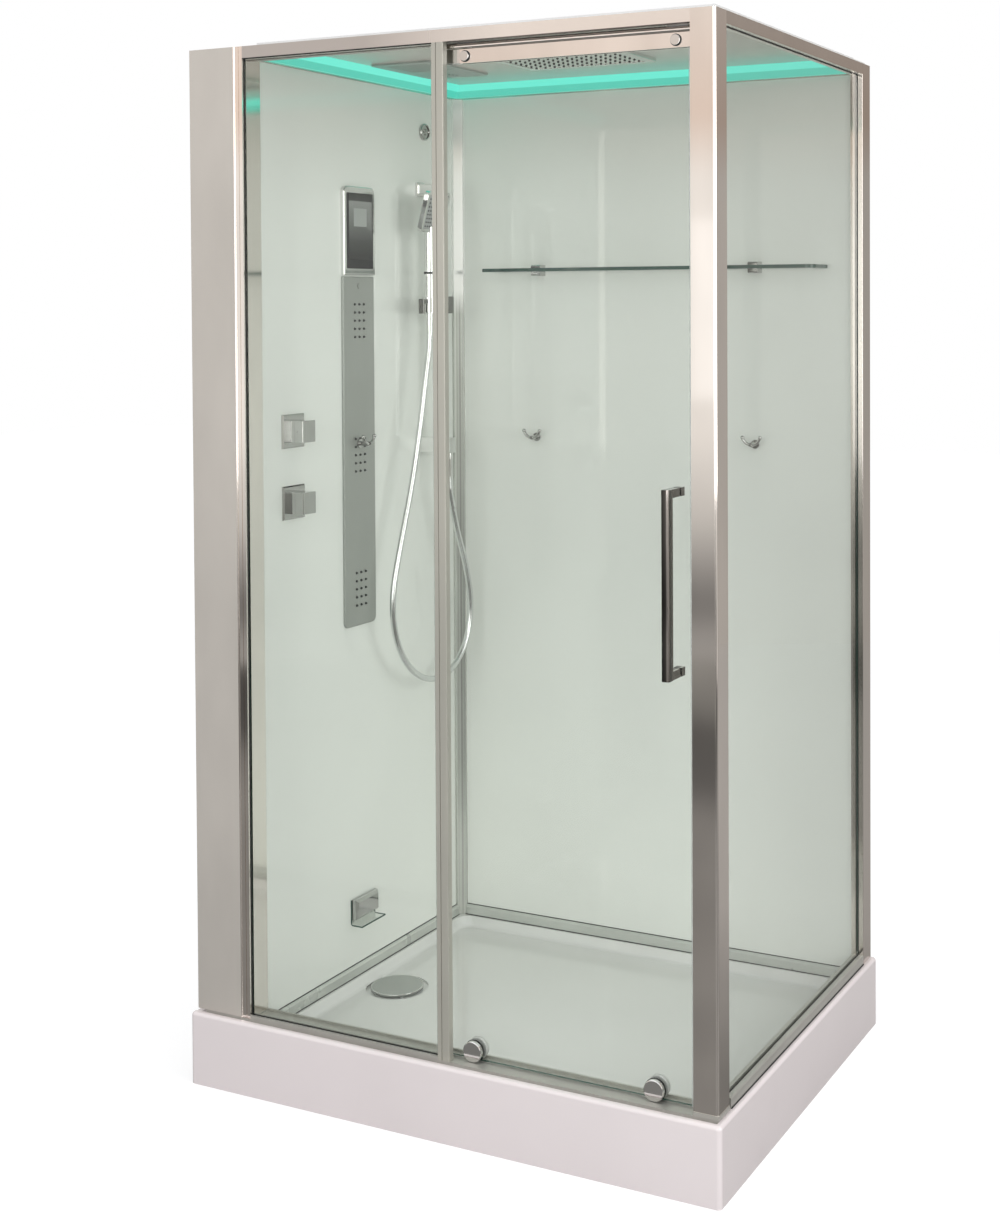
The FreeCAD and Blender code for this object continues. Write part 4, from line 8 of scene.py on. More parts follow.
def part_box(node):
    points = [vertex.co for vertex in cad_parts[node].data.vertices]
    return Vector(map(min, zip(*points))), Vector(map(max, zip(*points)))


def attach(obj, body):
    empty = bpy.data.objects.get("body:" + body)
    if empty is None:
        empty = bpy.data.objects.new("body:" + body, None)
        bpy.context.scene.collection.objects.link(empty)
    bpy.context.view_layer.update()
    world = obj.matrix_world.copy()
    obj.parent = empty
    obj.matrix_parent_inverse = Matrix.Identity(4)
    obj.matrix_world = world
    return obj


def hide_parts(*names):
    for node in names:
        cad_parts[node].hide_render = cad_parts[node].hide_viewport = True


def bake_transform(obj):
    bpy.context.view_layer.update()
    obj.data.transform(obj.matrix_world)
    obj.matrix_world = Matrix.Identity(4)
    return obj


bl_info = {
    "name": "Steam shower cabin",
    "version": (1, 0, 0),
    "blender": (4, 5, 0),
    "location": "3D View > Sidebar > Cabin",
    "description": "Finishes and details of a rectangular steam shower cabin with a sliding door",
    "category": "Object",
}

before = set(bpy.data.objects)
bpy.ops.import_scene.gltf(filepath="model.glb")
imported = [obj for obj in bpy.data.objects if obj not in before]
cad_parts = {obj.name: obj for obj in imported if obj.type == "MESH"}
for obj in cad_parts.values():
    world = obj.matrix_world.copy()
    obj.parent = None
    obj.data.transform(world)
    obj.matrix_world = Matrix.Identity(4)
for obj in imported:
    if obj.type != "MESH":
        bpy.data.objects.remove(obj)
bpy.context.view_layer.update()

# The view: where the camera stands, in metres and degrees, and its picture in pixels
PICTURE_WIDTH = 1000
PICTURE_HEIGHT = 1213
FOCAL_PIXELS = 1729.3
CENTRE_X_PIXELS = 637.0
CENTRE_Y_PIXELS = 343.4
CAMERA_PLACE = (1.7977, -3.2634, 1.621)
CAMERA_PITCH = -1.286
CAMERA_TURN = 25.752
CAMERA_ROLL = -0.229
SENSOR_HEIGHT = 36.0

# The studio's soft boxes: place, what they face, width and height in metres, and power in watts
SOFT_BOXES = {
    "front_softbox": ((0.9, -4.2, 2.0), (-0.1, 0.2, 1.0), (3.0, 2.4), 56),
    "right_softbox": ((4.4, -0.6, 2.0), (0.0, 0.1, 1.0), (2.6, 2.4), 61),
    "top_softbox": ((-0.6, -1.6, 4.6), (0.0, 0.0, 1.0), (3.2, 3.2), 6),
}

# The fills inside the cabin: where they hang, how soft they are, and the height and power of each
FILL_PLACE = (0.02, -0.12)
FILL_RADIUS = 0.3
FILLS = ((0.4, 0.8), (0.95, 0.2), (1.4, 0.25), (1.9, 0.8))

# The studio's floor, and the cards round the cabin that only reflections see: metres, tones and strengths
FLOOR_REACH = 15
FLOOR_TONE = (0.5, 0.5, 0.5)
FLOOR_GLOW = 0.62
WALL_RADIUS = 5.0
WALL_HEIGHT = 4.0
RUG_RADIUS = 5.2
RUG_HEIGHT = 0.001
WINDOW_DISTANCE = 4.8
WINDOW_TONE = (1, 0.98, 0.95, 1)
WINDOW_GLOW = 1.15

# The bright panels before the round wall: angle in degrees, width, foot and top in metres
WINDOWS = (
    (-124, 0.5, 1.3, 2.1),
    (-115, 0.7, 1.3, 2.1),
    (-104, 0.35, 1.2, 2.0),
    (-160, 0.3, 0.1, 2.4),
    (-145, 0.2, 0.1, 2.4),
    (-86, 0.25, 0.1, 2.4),
    (-70, 0.2, 0.1, 2.4),
    (-30, 0.5, 1.3, 2.4),
)

# Tones of the round wall by shares of its height: the upper ones all round, the lower ones in front
WALL_UPPER_TONES = (
    (0.26, (0.90, 0.87, 0.83)),
    (0.55, (0.93, 0.90, 0.86)),
    (0.62, (0.80, 0.66, 0.57)),
    (0.8, (0.86, 0.80, 0.75)),
    (1.0, (0.95, 0.93, 0.91)),
)
WALL_LOWER_TONES = (
    (0.0, (0.36, 0.35, 0.335)),
    (0.03, (0.30, 0.292, 0.28)),
    (0.055, (0.17, 0.165, 0.158)),
    (0.075, (0.18, 0.175, 0.168)),
    (0.11, (0.32, 0.311, 0.298)),
    (0.16, (0.56, 0.545, 0.52)),
    (0.21, (0.70, 0.68, 0.65)),
)

# How bright the round wall is by shares of a turn, from the left through the front, and where its front is
WALL_ROUND_TONES = (
    (0.0, (0.7, 0.69, 0.68)),
    (0.1, (1, 1, 1)),
    (0.26, (1, 1, 1)),
    (0.3, (0.3, 0.28, 0.27)),
    (0.34, (0.95, 0.95, 0.95)),
    (0.45, (0.95, 0.95, 0.95)),
    (0.52, (0.3, 0.29, 0.28)),
    (0.6, (0.44, 0.43, 0.42)),
    (0.7, (0.44, 0.43, 0.42)),
    (0.78, (0.9, 0.9, 0.9)),
)
WALL_FRONT = (0.06, 0.42)

# Tones of the card on the floor: bands in front, from RUG_NEAR to the cabin's middle, and one tone behind
RUG_NEAR = -5.0
RUG_BANDS = (
    (0.17, (0.22, 0.215, 0.20)),
    (0.28, (0.03, 0.029, 0.027)),
    (0.42, (0.025, 0.024, 0.023)),
    (0.49, (0.14, 0.136, 0.128)),
    (0.6, (0.165, 0.16, 0.15)),
)
RUG_BEHIND = (0.36, 0.345, 0.33, 1)
RUG_PATCHES = ((0.4, (0.8, 0.8, 0.8)), (0.6, (1, 1, 1)))

# Plain tones, and the even light from all sides
WHITE = (1, 1, 1, 1)
BLACK = (0, 0, 0, 1)
EVEN_TONE = (0.97, 0.98, 1.0, 1)
EVEN_STRENGTH = 0.75

# Most of a noise lies between these values
NOISE_LOW = 0.3
NOISE_HIGH = 0.7

# A face looks along an axis where that part of its direction is more than this
FACING = 0.5

# Grains of metal: how often the grain repeats along X, Y and Z
GRAIN_ALONG_X = (5, 400, 400)
GRAIN_ALONG_Y = (400, 5, 400)
GRAIN_ROLLED = (400, 400, 6)
GRAIN_UPRIGHT = (500, 500, 5)
GRAIN_POLISHED = (300, 300, 3)
GRAIN_FITTING = (60, 60, 60)
GRAIN_CEILING = (80, 80, 80)

# On smooth pieces, edges that turn by more than this, in degrees, stay crisp
CREASE_ANGLE = 40
HOSE_CREASE_ANGLE = 60

# Points closer than this, in metres, are merged
MERGE_DISTANCE = 0.00001

# The hand shower's square head: where its foot stands and how far its face tips down
HAND_HEAD_FOOT = (-0.388, 0.157, 1.792)
HAND_HEAD_TILT = 15.0
HAND_HEAD_FACE = 0.0053
HAND_HEAD_SIZE = 0.092

# The black ring on the handset's grip: how far below the head's foot it starts and ends, and its radius
HANDSET_RING_TOP = 0.0929
HANDSET_RING_FOOT = 0.0981
HANDSET_RING_RADIUS = 0.0128

# The hook on the shower panel: where its plate stands, and how much higher than the other hooks
PANEL_HOOK_FOOT = (-0.456, -0.033, 0.009)

# The foot profiles below the walls are this thick, and the corner profile's painted reflection turns from
# stripes to a bright plate here
FOOT_PROFILE_DEPTH = 0.016
CORNER_STRIPES_TOP = 1.60
CORNER_GLARE_FOOT = 1.66

# The front header, in shares of its length: where its satin part ends and its polished part starts; its
# colour turns from darker to lighter there as painted reflection
HEADER_SATIN_END = 0.3
HEADER_POLISHED_START = 0.62

# How wide the tray's outer rim is, the seals at the door's edges are, and the guard's front edge is
TRAY_RIM = 0.03
SEAL_STRIP = 0.03
GUARD_EDGE = 0.0012

# The light strip: how high its cove starts, as a share, how soft that line is, and how strong its light is
COVE_FOOT = 0.52
COVE_SOFTNESS = 0.03
LIGHT_STRENGTH = 0.82

# The control screen by shares of its height: where the dark foot ends, and the tones from there to the top
SCREEN_FOOT = 0.115
SCREEN_TONES = (
    (0.125, (0.018, 0.019, 0.018)),
    (0.35, (0.055, 0.058, 0.055)),
    (0.89, (0.29, 0.30, 0.285)),
    (0.9, (0.05, 0.053, 0.05)),
)

# The control screen's lighter face and the grey window in it: shares of its height and of its width
SCREEN_FACE = ((0.012, 0.988), (0.1, 0.975))
SCREEN_WINDOW = ((0.56, 0.8), (0.28, 0.77))
SCREEN_WINDOW_TONE = (0.37, 0.385, 0.37, 1)

# The handle's painted reflection lines: shares of its width, how bright each is, and how far they sway
HANDLE_PAINTED_LINES = ((0.0, 0.5), (0.12, 0.08), (0.4, 0.16), (0.62, 0.24), (0.74, 1.0), (0.88, 1.0), (0.95, 0.4))
HANDLE_SWAY = 0.0012

# The round caps on the door's top rail: how far along, how high, and their foot and radius
TOP_CAPS = (0.054, 0.499)
TOP_CAP_HEIGHT = 2.0995
TOP_CAP_BACK = -0.404
TOP_CAP_RADIUS = 0.010

# How long the door's lower round caps are
LOWER_CAP_LENGTH = 0.012

# The black rings at the feet of the door's caps: how much wider than the caps they are, and how deep
LOWER_RING_PROUD = 0.0005
LOWER_RING_DEPTH = 0.004
TOP_RING_PROUD = 0.0012
TOP_RING_DEPTH = 0.0015

# The side pane's gasket as a share of the front one's width, and a nozzle's tip as a share of its root
SIDE_GASKET_SHARE = 0.6
NOZZLE_TIP_SHARE = 0.6

# The hose's route, from the bracket's outlet to the handset, in metres
HOSE_ROUTE = (
    (-0.383, 0.228, 1.258),
    (-0.383, 0.228, 1.196),
    (-0.382, 0.23, 1.18),
    (-0.384, 0.262, 1.088),
    (-0.387, 0.312, 0.988),
    (-0.389, 0.338, 0.89),
    (-0.391, 0.316, 0.8),
    (-0.392, 0.242, 0.744),
    (-0.393, 0.148, 0.742),
    (-0.394, 0.062, 0.79),
    (-0.395, 0.012, 0.87),
    (-0.395, 0.002, 0.962),
    (-0.394, 0.034, 1.068),
    (-0.392, 0.08, 1.2),
    (-0.39, 0.116, 1.34),
    (-0.3885, 0.142, 1.47),
    (-0.388, 0.157, 1.5338),
    (-0.388, 0.157, 1.5958),
)

# The sleeves on the hose: how much wider than the hose they are at their tail and at their nut
SLEEVE_TAIL = 1.12
SLEEVE_NUT = 1.4


def colour(name, text, value):
    """A colour property with red, green and blue."""
    return bpy.props.FloatVectorProperty(name=name, description=text, default=value, size=3, min=0, max=1,
                                         subtype="COLOR")


def length(name, text, value):
    """A length property in metres."""
    return bpy.props.FloatProperty(name=name, description=text, default=value, min=0, unit="LENGTH")


class CabinFinishes(bpy.types.PropertyGroup):
    """Colours of the cabin's finishes."""
    aluminium: colour("Aluminium", "Satin column cover", (0.565, 0.53, 0.485))
    polished: colour("Polished aluminium", "Corner post, jamb and door rail", (0.86, 0.81, 0.77))
    chrome: colour("Chrome", "Hand shower, rain head and door caps", (0.74, 0.74, 0.73))
    dark_chrome: colour("Dark chrome", "Slider and release lever", (0.26, 0.255, 0.25))
    handle: colour("Handle chrome", "Door handle, where it is brightest", (0.58, 0.54, 0.51))
    # The handle colour is the brightest of the handle's painted reflection lines
    valve_chrome: colour("Valve chrome", "Valves, steam outlet, hooks and speaker", (0.52, 0.52, 0.51))
    # The inner corner profile's two colours are painted reflection: a bright one above, and a grey for the
    # painted stripes below
    corner_painted_reflection: colour("Corner chrome", "Upper part of the inner corner profile", (0.92, 0.91, 0.90))
    corner_painted_stripes: colour("Corner satin", "Lower part of the inner corner profile", (0.50, 0.51, 0.48))
    rail: colour("Base rails", "Satin rails on the tray", (0.44, 0.435, 0.40))
    foot: colour("Foot profiles", "Satin profiles below the walls", (0.58, 0.60, 0.565))
    # The header colour is the darker end of the front header's painted reflection ramp
    header: colour("Header", "Satin part of the front header", (0.50, 0.47, 0.45))
    right_header: colour("Right header", "Right and wall headers, and the rear post", (0.68, 0.64, 0.60))
    stile: colour("Stile", "Satin stile between the panes", (0.465, 0.455, 0.40))
    steel: colour("Steel", "Support bars and roller hangers", (0.5, 0.5, 0.5))
    brass: colour("Brass", "Cast valve bodies", (0.62, 0.45, 0.2))
    drain: colour("Drain", "Brushed drain cover", (0.43, 0.445, 0.43))
    head_silver: colour("Control head", "Silver control head", (0.75, 0.75, 0.74))
    wall: colour("Wall glass", "Paint behind the wall glass", (0.80, 0.815, 0.775))
    acrylic: colour("Acrylic", "Outside of the shower tray", (0.86, 0.785, 0.785))
    # The tray floor colour is the acrylic painted darker and greyer, as painted shade
    tray_floor_shaded: colour("Tray floor", "Inside of the shower tray", (0.70, 0.70, 0.682))
    # The roof colour is the ceiling's darker, warmer copy of the sheet, as painted shade
    roof: colour("Roof", "Ceiling panel", (0.59, 0.54, 0.507))
    roof_outside: colour("Roof outside", "Outside of the ceiling panel", (0.78, 0.78, 0.77))
    glass: colour("Glass tint", "Clear panes", (0.962, 0.974, 0.962))
    glass_edge: colour("Glass edge", "Cut edges of the panes", (0.025, 0.07, 0.055))
    light_upper: colour("Light, upper", "Cove of the light strip", (0.17, 0.98, 0.80))
    light_lower: colour("Light, lower", "Face of the light strip", (0.10, 0.68, 0.54))
    light_body: colour("Light, unlit", "Plastic of the light strip", (0.02, 0.1, 0.08))
    panel: colour("Shower panel", "Satin paint of the jet panel", (0.37, 0.385, 0.36))
    spray_plate: colour("Spray plate", "Face of the hand shower", (0.36, 0.365, 0.36))
    grille: colour("Grille", "Ceiling grille", (0.36, 0.38, 0.36))
    nozzle: colour("Nozzles", "Rubber nozzles", (0.03, 0.033, 0.032))
    gasket: colour("Gaskets", "Rubber round the fixed panes", (0.012, 0.013, 0.013))
    washer: colour("Washers", "Black washers and rings on the door", (0.012, 0.012, 0.012))
    vinyl: colour("Vinyl", "Clear seals at the door's edges", (0.62, 0.65, 0.63))
    nylon: colour("Nylon", "Door wheels", (0.6, 0.6, 0.58))
    feet: colour("Feet", "Levelling feet", (0.02, 0.02, 0.02))
    trap: colour("Trap", "Waste trap", (0.45, 0.47, 0.46))
    pipe: colour("Pipes", "Supply pipes", (0.5, 0.52, 0.52))
    generator: colour("Generator", "Case of the steam generator", (0.7, 0.7, 0.69))
    hose: colour("Hose", "Silver hose", (0.72, 0.73, 0.73))
    screen: colour("Screen", "Control screen", (0.012, 0.013, 0.014))


class CabinSizes(bpy.types.PropertyGroup):
    """Sizes of what the scene adds to the cabin."""
    hose_diameter: length("Hose diameter", "Outside diameter of the hose", 0.014)
    hose_length: length("Hose length", "Length of the hose from end to end", 1.594)
    hand_rows: bpy.props.IntProperty(name="Hand shower rows", default=8, min=2,
                                     description="Nozzles along each side of the head")
    hand_nozzle: length("Hand shower nozzle", "Radius of a nozzle at its root", 0.0024)
    gasket: length("Gasket", "Width of the glazing gaskets in view", 0.0016)
    sleeve_length: length("Hose sleeve", "Length of the sleeves at the hose's ends", 0.042)


def finishes():
    return bpy.context.scene.cabin_finishes


def sizes():
    return bpy.context.scene.cabin_sizes


# Material helpers


def new_material(name):
    """A material with its tree and its surface shader."""
    material = bpy.data.materials.new(name)
    material.use_nodes = True
    tree = material.node_tree
    return material, tree, tree.nodes["Principled BSDF"]


def feed(tree, target, inputs):
    """Give a node's inputs their values, or link them to other nodes."""
    for key, value in inputs.items():
        if isinstance(value, bpy.types.NodeSocket):
            tree.links.new(value, target.inputs[key])
        else:
            target.inputs[key].default_value = value


def node(tree, kind, inputs=None, **settings):
    """A new node with its settings and inputs."""
    made = tree.nodes.new(kind)
    for name, value in settings.items():
        setattr(made, name, value)
    feed(tree, made, inputs or {})
    return made


def maths(tree, operation, first, second=0.0):
    """The result of one sum."""
    return node(tree, "ShaderNodeMath", {0: first, 1: second}, operation=operation).outputs["Value"]


def blended(tree, share, first, second, way="MIX"):
    """One colour turning into another by a share."""
    made = node(tree, "ShaderNodeMix", {0: share, 6: first, 7: second}, data_type="RGBA", blend_type=way)
    return made.outputs[2]


def object_place(tree, scale=(1, 1, 1)):
    """Object coordinates, stretched."""
    source = node(tree, "ShaderNodeTexCoord")
    stretched = node(tree, "ShaderNodeMapping", {"Vector": source.outputs["Object"], "Scale": scale})
    return stretched.outputs["Vector"]


def axis_value(tree, axis):
    """One coordinate of the object's own place."""
    source = node(tree, "ShaderNodeTexCoord")
    parts = node(tree, "ShaderNodeSeparateXYZ", {"Vector": source.outputs["Object"]})
    return parts.outputs[axis]


def face_normal(tree, axis):
    """One coordinate of a face's own direction."""
    geometry = node(tree, "ShaderNodeNewGeometry")
    parts = node(tree, "ShaderNodeSeparateXYZ", {"Vector": geometry.outputs["True Normal"]})
    return parts.outputs[axis]


def noise(tree, place, scale, detail):
    """A soft noise between 0 and 1."""
    made = node(tree, "ShaderNodeTexNoise", {"Vector": place, "Scale": scale, "Detail": detail})
    return made.outputs["Fac"]


def ramp(tree, factor, stops):
    """A colour ramp over (position, colour) stops."""
    made = node(tree, "ShaderNodeValToRGB", {"Fac": factor})
    elements = made.color_ramp.elements
    while len(elements) < len(stops):
        elements.new(0.5)
    for element, (position, shade) in zip(elements, stops):
        element.position = position
        element.color = (*shade, 1)
    return made.outputs["Color"]


def shades(tree, factor, base, spread):
    """The base colour, varied a little darker and lighter by a factor."""
    dark = tuple(value * (1 - spread) for value in base)
    light = tuple(min(1, value * (1 + spread)) for value in base)
    return ramp(tree, factor, [(NOISE_LOW, dark), (NOISE_HIGH, light)])


def spread_values(tree, factor, low, high):
    """A value between two limits, by a factor."""
    spread = node(tree, "ShaderNodeMapRange", {"Value": factor, "To Min": low, "To Max": high})
    return spread.outputs["Result"]


def varied(tree, factor, middle, part):
    """A value that a factor makes smaller and larger by a part of itself."""
    return spread_values(tree, factor, middle * (1 - part), middle * (1 + part))


def share_between(tree, value, low, high):
    """How far a value lies from one limit to the other, from 0 to 1."""
    share = node(tree, "ShaderNodeMapRange", {"Value": value, "From Min": low, "From Max": high})
    return share.outputs["Result"]


def share_along(tree, name, axis):
    """How far along a CAD node's box a place lies, from 0 to 1."""
    low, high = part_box(name)
    number = "XYZ".index(axis)
    return share_between(tree, axis_value(tree, axis), low[number], high[number])


def within(tree, value, low, high):
    """One where a value lies between two limits, and zero elsewhere."""
    above = maths(tree, "GREATER_THAN", value, low)
    below = maths(tree, "LESS_THAN", value, high)
    return maths(tree, "MULTIPLY", above, below)


def bump(tree, height, strength, distance):
    """A normal that follows a height."""
    made = node(tree, "ShaderNodeBump", {"Height": height, "Strength": strength, "Distance": distance})
    return made.outputs["Normal"]


# Finishes


def metal(name, base, rough, grain=GRAIN_ROLLED, grain_depth=0.05, metallic=1.0):
    """Rolled or plated metal with a fine grain along one way and faint smears."""
    material, tree, shader = new_material(name)
    smear = noise(tree, object_place(tree, (3, 3, 1.2)), scale=2.0, detail=4.0)
    streak = noise(tree, object_place(tree, grain), scale=1.0, detail=2.0)
    feed(tree, shader, {
        "Base Color": shades(tree, smear, base, spread=0.06),
        "Metallic": metallic,
        "Roughness": varied(tree, smear, rough, part=0.3),
        "Normal": bump(tree, streak, grain_depth, distance=0.0002),
    })
    return material


def fitting_chrome(name, base, rough=0.07):
    """Mirror plating on a small fitting."""
    return metal(name, base, rough, GRAIN_FITTING, grain_depth=0.02)


def header_metal(name):
    """The front header: satin over the fixed pane, turning polished over the door, with its colour painted
    lighter over the door as painted reflection.
    """
    look = finishes()
    material, tree, shader = new_material(name)
    along = share_along(tree, "front_header", "X")
    # The colour ramp from darker to lighter is painted reflection; the roughness ramp is the real change of
    # finish
    stops = [(HEADER_SATIN_END, look.header), (HEADER_POLISHED_START, look.polished)]
    streak = noise(tree, object_place(tree, GRAIN_ALONG_X), scale=1.0, detail=2.0)
    feed(tree, shader, {
        "Base Color": ramp(tree, along, stops),
        "Metallic": 0.9,
        "Roughness": spread_values(tree, along, 0.4, 0.12),
        "Normal": bump(tree, streak, strength=0.03, distance=0.0002),
    })
    return material


def corner_metal(name):
    """The inner corner profile: a painted bright reflection above, and grey with painted reflection stripes
    below.
    """
    look = finishes()
    material, tree, shader = new_material(name)
    rise = share_between(tree, axis_value(tree, "Z"), CORNER_STRIPES_TOP, CORNER_GLARE_FOOT)
    stripe = noise(tree, object_place(tree, (160, 160, 0.4)), scale=1.0, detail=2.0)
    # Painted reflection: upright dark and light stripes below, turning into a painted bright plate above
    satin = shades(tree, stripe, look.corner_painted_stripes, spread=0.4)
    feed(tree, shader, {
        "Base Color": blended(tree, rise, satin, (*look.corner_painted_reflection, 1)),
        "Metallic": 0.5,
        "Roughness": spread_values(tree, stripe, 0.08, 0.14),
    })
    return material


def handle_painted_reflections(name):
    """Mirror chrome with painted reflections: dark, with a painted bright line along the bar's front edge."""
    material, tree, shader = new_material(name)
    low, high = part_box("door_handle")
    # The bar's base colour is painted reflection: stripes across its width, brightest near its front edge
    bright = Vector(finishes().handle)
    waver = noise(tree, object_place(tree, (1, 1, 9)), scale=1.0, detail=2.0)
    sway = spread_values(tree, waver, -HANDLE_SWAY, HANDLE_SWAY)
    share = share_between(tree, maths(tree, "ADD", axis_value(tree, "X"), sway), low[0], high[0])
    feed(tree, shader, {
        "Base Color": ramp(tree, share, [(place, bright * part) for place, part in HANDLE_PAINTED_LINES]),
        "Metallic": 1.0,
        "Roughness": spread_values(tree, waver, 0.04, 0.1),
    })
    return material


def pane_edge(tree, axis):
    """The cut edges of a pane that faces along an axis."""
    return maths(tree, "LESS_THAN", maths(tree, "ABSOLUTE", face_normal(tree, axis)), FACING)


def guard_edge(tree, axis):
    """The cut ends of the bent guard, and the front edge of its tray."""
    ends = maths(tree, "GREATER_THAN", maths(tree, "ABSOLUTE", face_normal(tree, axis)), FACING)
    front = maths(tree, "GREATER_THAN", axis_value(tree, "X"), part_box("steam_guard")[1][0] - GUARD_EDGE)
    return maths(tree, "MAXIMUM", ends, front)


def clear_glass(name, axis, edge=pane_edge):
    """A clear pane: mirror-like at a slant, clear head on, with dark cut edges."""
    look = finishes()
    material, tree, shader = new_material(name)
    feed(tree, shader, {"Base Color": (*look.glass_edge, 1), "Roughness": 0.08})
    see = node(tree, "ShaderNodeBsdfTransparent", {"Color": (*look.glass, 1)})
    mirror = node(tree, "ShaderNodeBsdfGlossy", {"Color": WHITE, "Roughness": 0.0})
    gloss = node(tree, "ShaderNodeFresnel", {"IOR": 1.45})
    geometry = node(tree, "ShaderNodeNewGeometry")
    outside = maths(tree, "SUBTRACT", 1.0, geometry.outputs["Backfacing"])
    share = maths(tree, "MULTIPLY", gloss.outputs["Fac"], outside)
    pane = node(tree, "ShaderNodeMixShader", {0: share, 1: see.outputs["BSDF"], 2: mirror.outputs["BSDF"]})
    whole = node(tree, "ShaderNodeMixShader", {0: edge(tree, axis), 1: pane.outputs["Shader"],
                                              2: shader.outputs["BSDF"]})
    feed(tree, tree.nodes["Material Output"], {"Surface": whole.outputs["Shader"]})
    return material


def wall_glass(name):
    """Back-painted wall glass: an even pale paint under a clear gloss, with a faint waviness."""
    material, tree, shader = new_material(name)
    cloud = noise(tree, object_place(tree, (1, 1, 0.7)), scale=1.6, detail=2.0)
    wave = noise(tree, object_place(tree), scale=5.0, detail=1.0)
    feed(tree, shader, {
        "Base Color": shades(tree, cloud, finishes().wall, spread=0.05),
        "Roughness": 0.03,
        "IOR": 1.5,
        "Normal": bump(tree, wave, strength=0.03, distance=0.001),
    })
    return material


def acrylic(name):
    """Moulded sanitary acrylic with a soft gloss and faint orange peel, painted darker and greyer inside the
    tray as painted shade.
    """
    look = finishes()
    material, tree, shader = new_material(name)
    cloud = noise(tree, object_place(tree), scale=2.5, detail=3.0)
    peel = noise(tree, object_place(tree), scale=90.0, detail=1.0)
    low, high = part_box("shower_tray")
    across = within(tree, axis_value(tree, "X"), low[0] + TRAY_RIM, high[0] - TRAY_RIM)
    deep = within(tree, axis_value(tree, "Y"), low[1] + TRAY_RIM, high[1] - TRAY_RIM)
    outside = shades(tree, cloud, look.acrylic, spread=0.03)
    # Painted shade: the inside of the tray gets a darker, greyer copy of the acrylic
    inside = shades(tree, cloud, look.tray_floor_shaded, spread=0.03)
    feed(tree, shader, {
        "Base Color": blended(tree, maths(tree, "MULTIPLY", across, deep), outside, inside),
        "Roughness": spread_values(tree, cloud, 0.12, 0.2),
        "Coat Weight": 1.0,
        "Coat Roughness": 0.03,
        "Normal": bump(tree, peel, strength=0.03, distance=0.0005),
    })
    return material


def plastic(name, base, rough=0.4, grain=900.0, depth=0.08):
    """Moulded plastic with a fine texture."""
    material, tree, shader = new_material(name)
    cloud = noise(tree, object_place(tree), scale=12.0, detail=3.0)
    texture = noise(tree, object_place(tree), grain, detail=2.0)
    feed(tree, shader, {
        "Base Color": shades(tree, cloud, base, spread=0.06),
        "Roughness": varied(tree, cloud, rough, part=0.15),
        "Normal": bump(tree, texture, depth, distance=0.0002),
    })
    return material


def roof_sheet(name):
    """The roof: pale sheet on the outside, and the ceiling below a darker, warmer copy of it: painted shade,
    warmed against the light strip's turquoise light.
    """
    look = finishes()
    material, tree, shader = new_material(name)
    cloud = noise(tree, object_place(tree), scale=6.0, detail=3.0)
    texture = noise(tree, object_place(tree), scale=400.0, detail=2.0)
    # Painted shade: faces that look down get the darker, warmer ceiling colour
    below = maths(tree, "LESS_THAN", face_normal(tree, "Z"), -FACING)
    outside = shades(tree, cloud, look.roof_outside, spread=0.03)
    ceiling = shades(tree, cloud, look.roof, spread=0.05)
    feed(tree, shader, {
        "Base Color": blended(tree, below, outside, ceiling),
        "Roughness": spread_values(tree, cloud, 0.2, 0.3),
        "Normal": bump(tree, texture, strength=0.03, distance=0.0002),
    })
    return material


def light_diffuser(name):
    """The lit strip: a bright cove over a deeper face."""
    look = finishes()
    material, tree, shader = new_material(name)
    stops = [(COVE_FOOT - COVE_SOFTNESS, look.light_lower), (COVE_FOOT + COVE_SOFTNESS, look.light_upper)]
    feed(tree, shader, {
        "Base Color": (*look.light_body, 1),
        "Roughness": 0.4,
        "Emission Color": ramp(tree, share_along(tree, "light_strips", "Z"), stops),
        "Emission Strength": LIGHT_STRENGTH,
    })
    return material


def control_glass(name):
    """The control screen: black glass with dark bands at its ends, lighter towards the top and darker towards
    the foot, with a grey window.
    """
    material, tree, shader = new_material(name)
    dark = finishes().screen
    rise = share_along(tree, "control_screen", "Z")
    across = share_along(tree, "control_screen", "Y")

    def area(limits):
        up, side = limits
        return maths(tree, "MULTIPLY", within(tree, rise, *up), within(tree, across, *side))

    fade = ramp(tree, rise, [(SCREEN_FOOT, dark), *SCREEN_TONES])
    shown = blended(tree, area(SCREEN_WINDOW), fade, SCREEN_WINDOW_TONE)
    feed(tree, shader, {
        "Base Color": blended(tree, area(SCREEN_FACE), (*dark, 1), shown),
        "Roughness": 0.06,
        "Specular IOR Level": 0.3,
    })
    return material


def door_seal_vinyl(name):
    """Clear vinyl strips at the door's edges, and black washers between them."""
    look = finishes()
    material, tree, shader = new_material(name)
    low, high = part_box("door_seals")
    washer = within(tree, axis_value(tree, "X"), low[0] + SEAL_STRIP, high[0] - SEAL_STRIP)
    feed(tree, shader, {
        "Base Color": blended(tree, washer, (*look.vinyl, 1), (*look.washer, 1)),
        "Alpha": spread_values(tree, washer, 0.45, 1.0),
        "Roughness": 0.3,
    })
    return material


# Piece helpers


def finish_nodes(material, *names):
    """Give CAD nodes a finish."""
    for name in names:
        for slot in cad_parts[name].material_slots:
            slot.material = material


def mesh_object(name, shape, material):
    """An object from a bmesh, with one material."""
    mesh = bpy.data.meshes.new(name)
    shape.to_mesh(mesh)
    shape.free()
    mesh.materials.append(material)
    made = bpy.data.objects.new(name, mesh)
    bpy.context.collection.objects.link(made)
    return made


def new_piece(name, shape, material, body, crease=None):
    """A piece from a bmesh, riding on a body if one is named, and smooth if a crease angle is given."""
    piece = mesh_object(name, shape, material)
    if body:
        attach(piece, body)
    if crease:
        shade_smooth(piece.data, crease)
    return piece


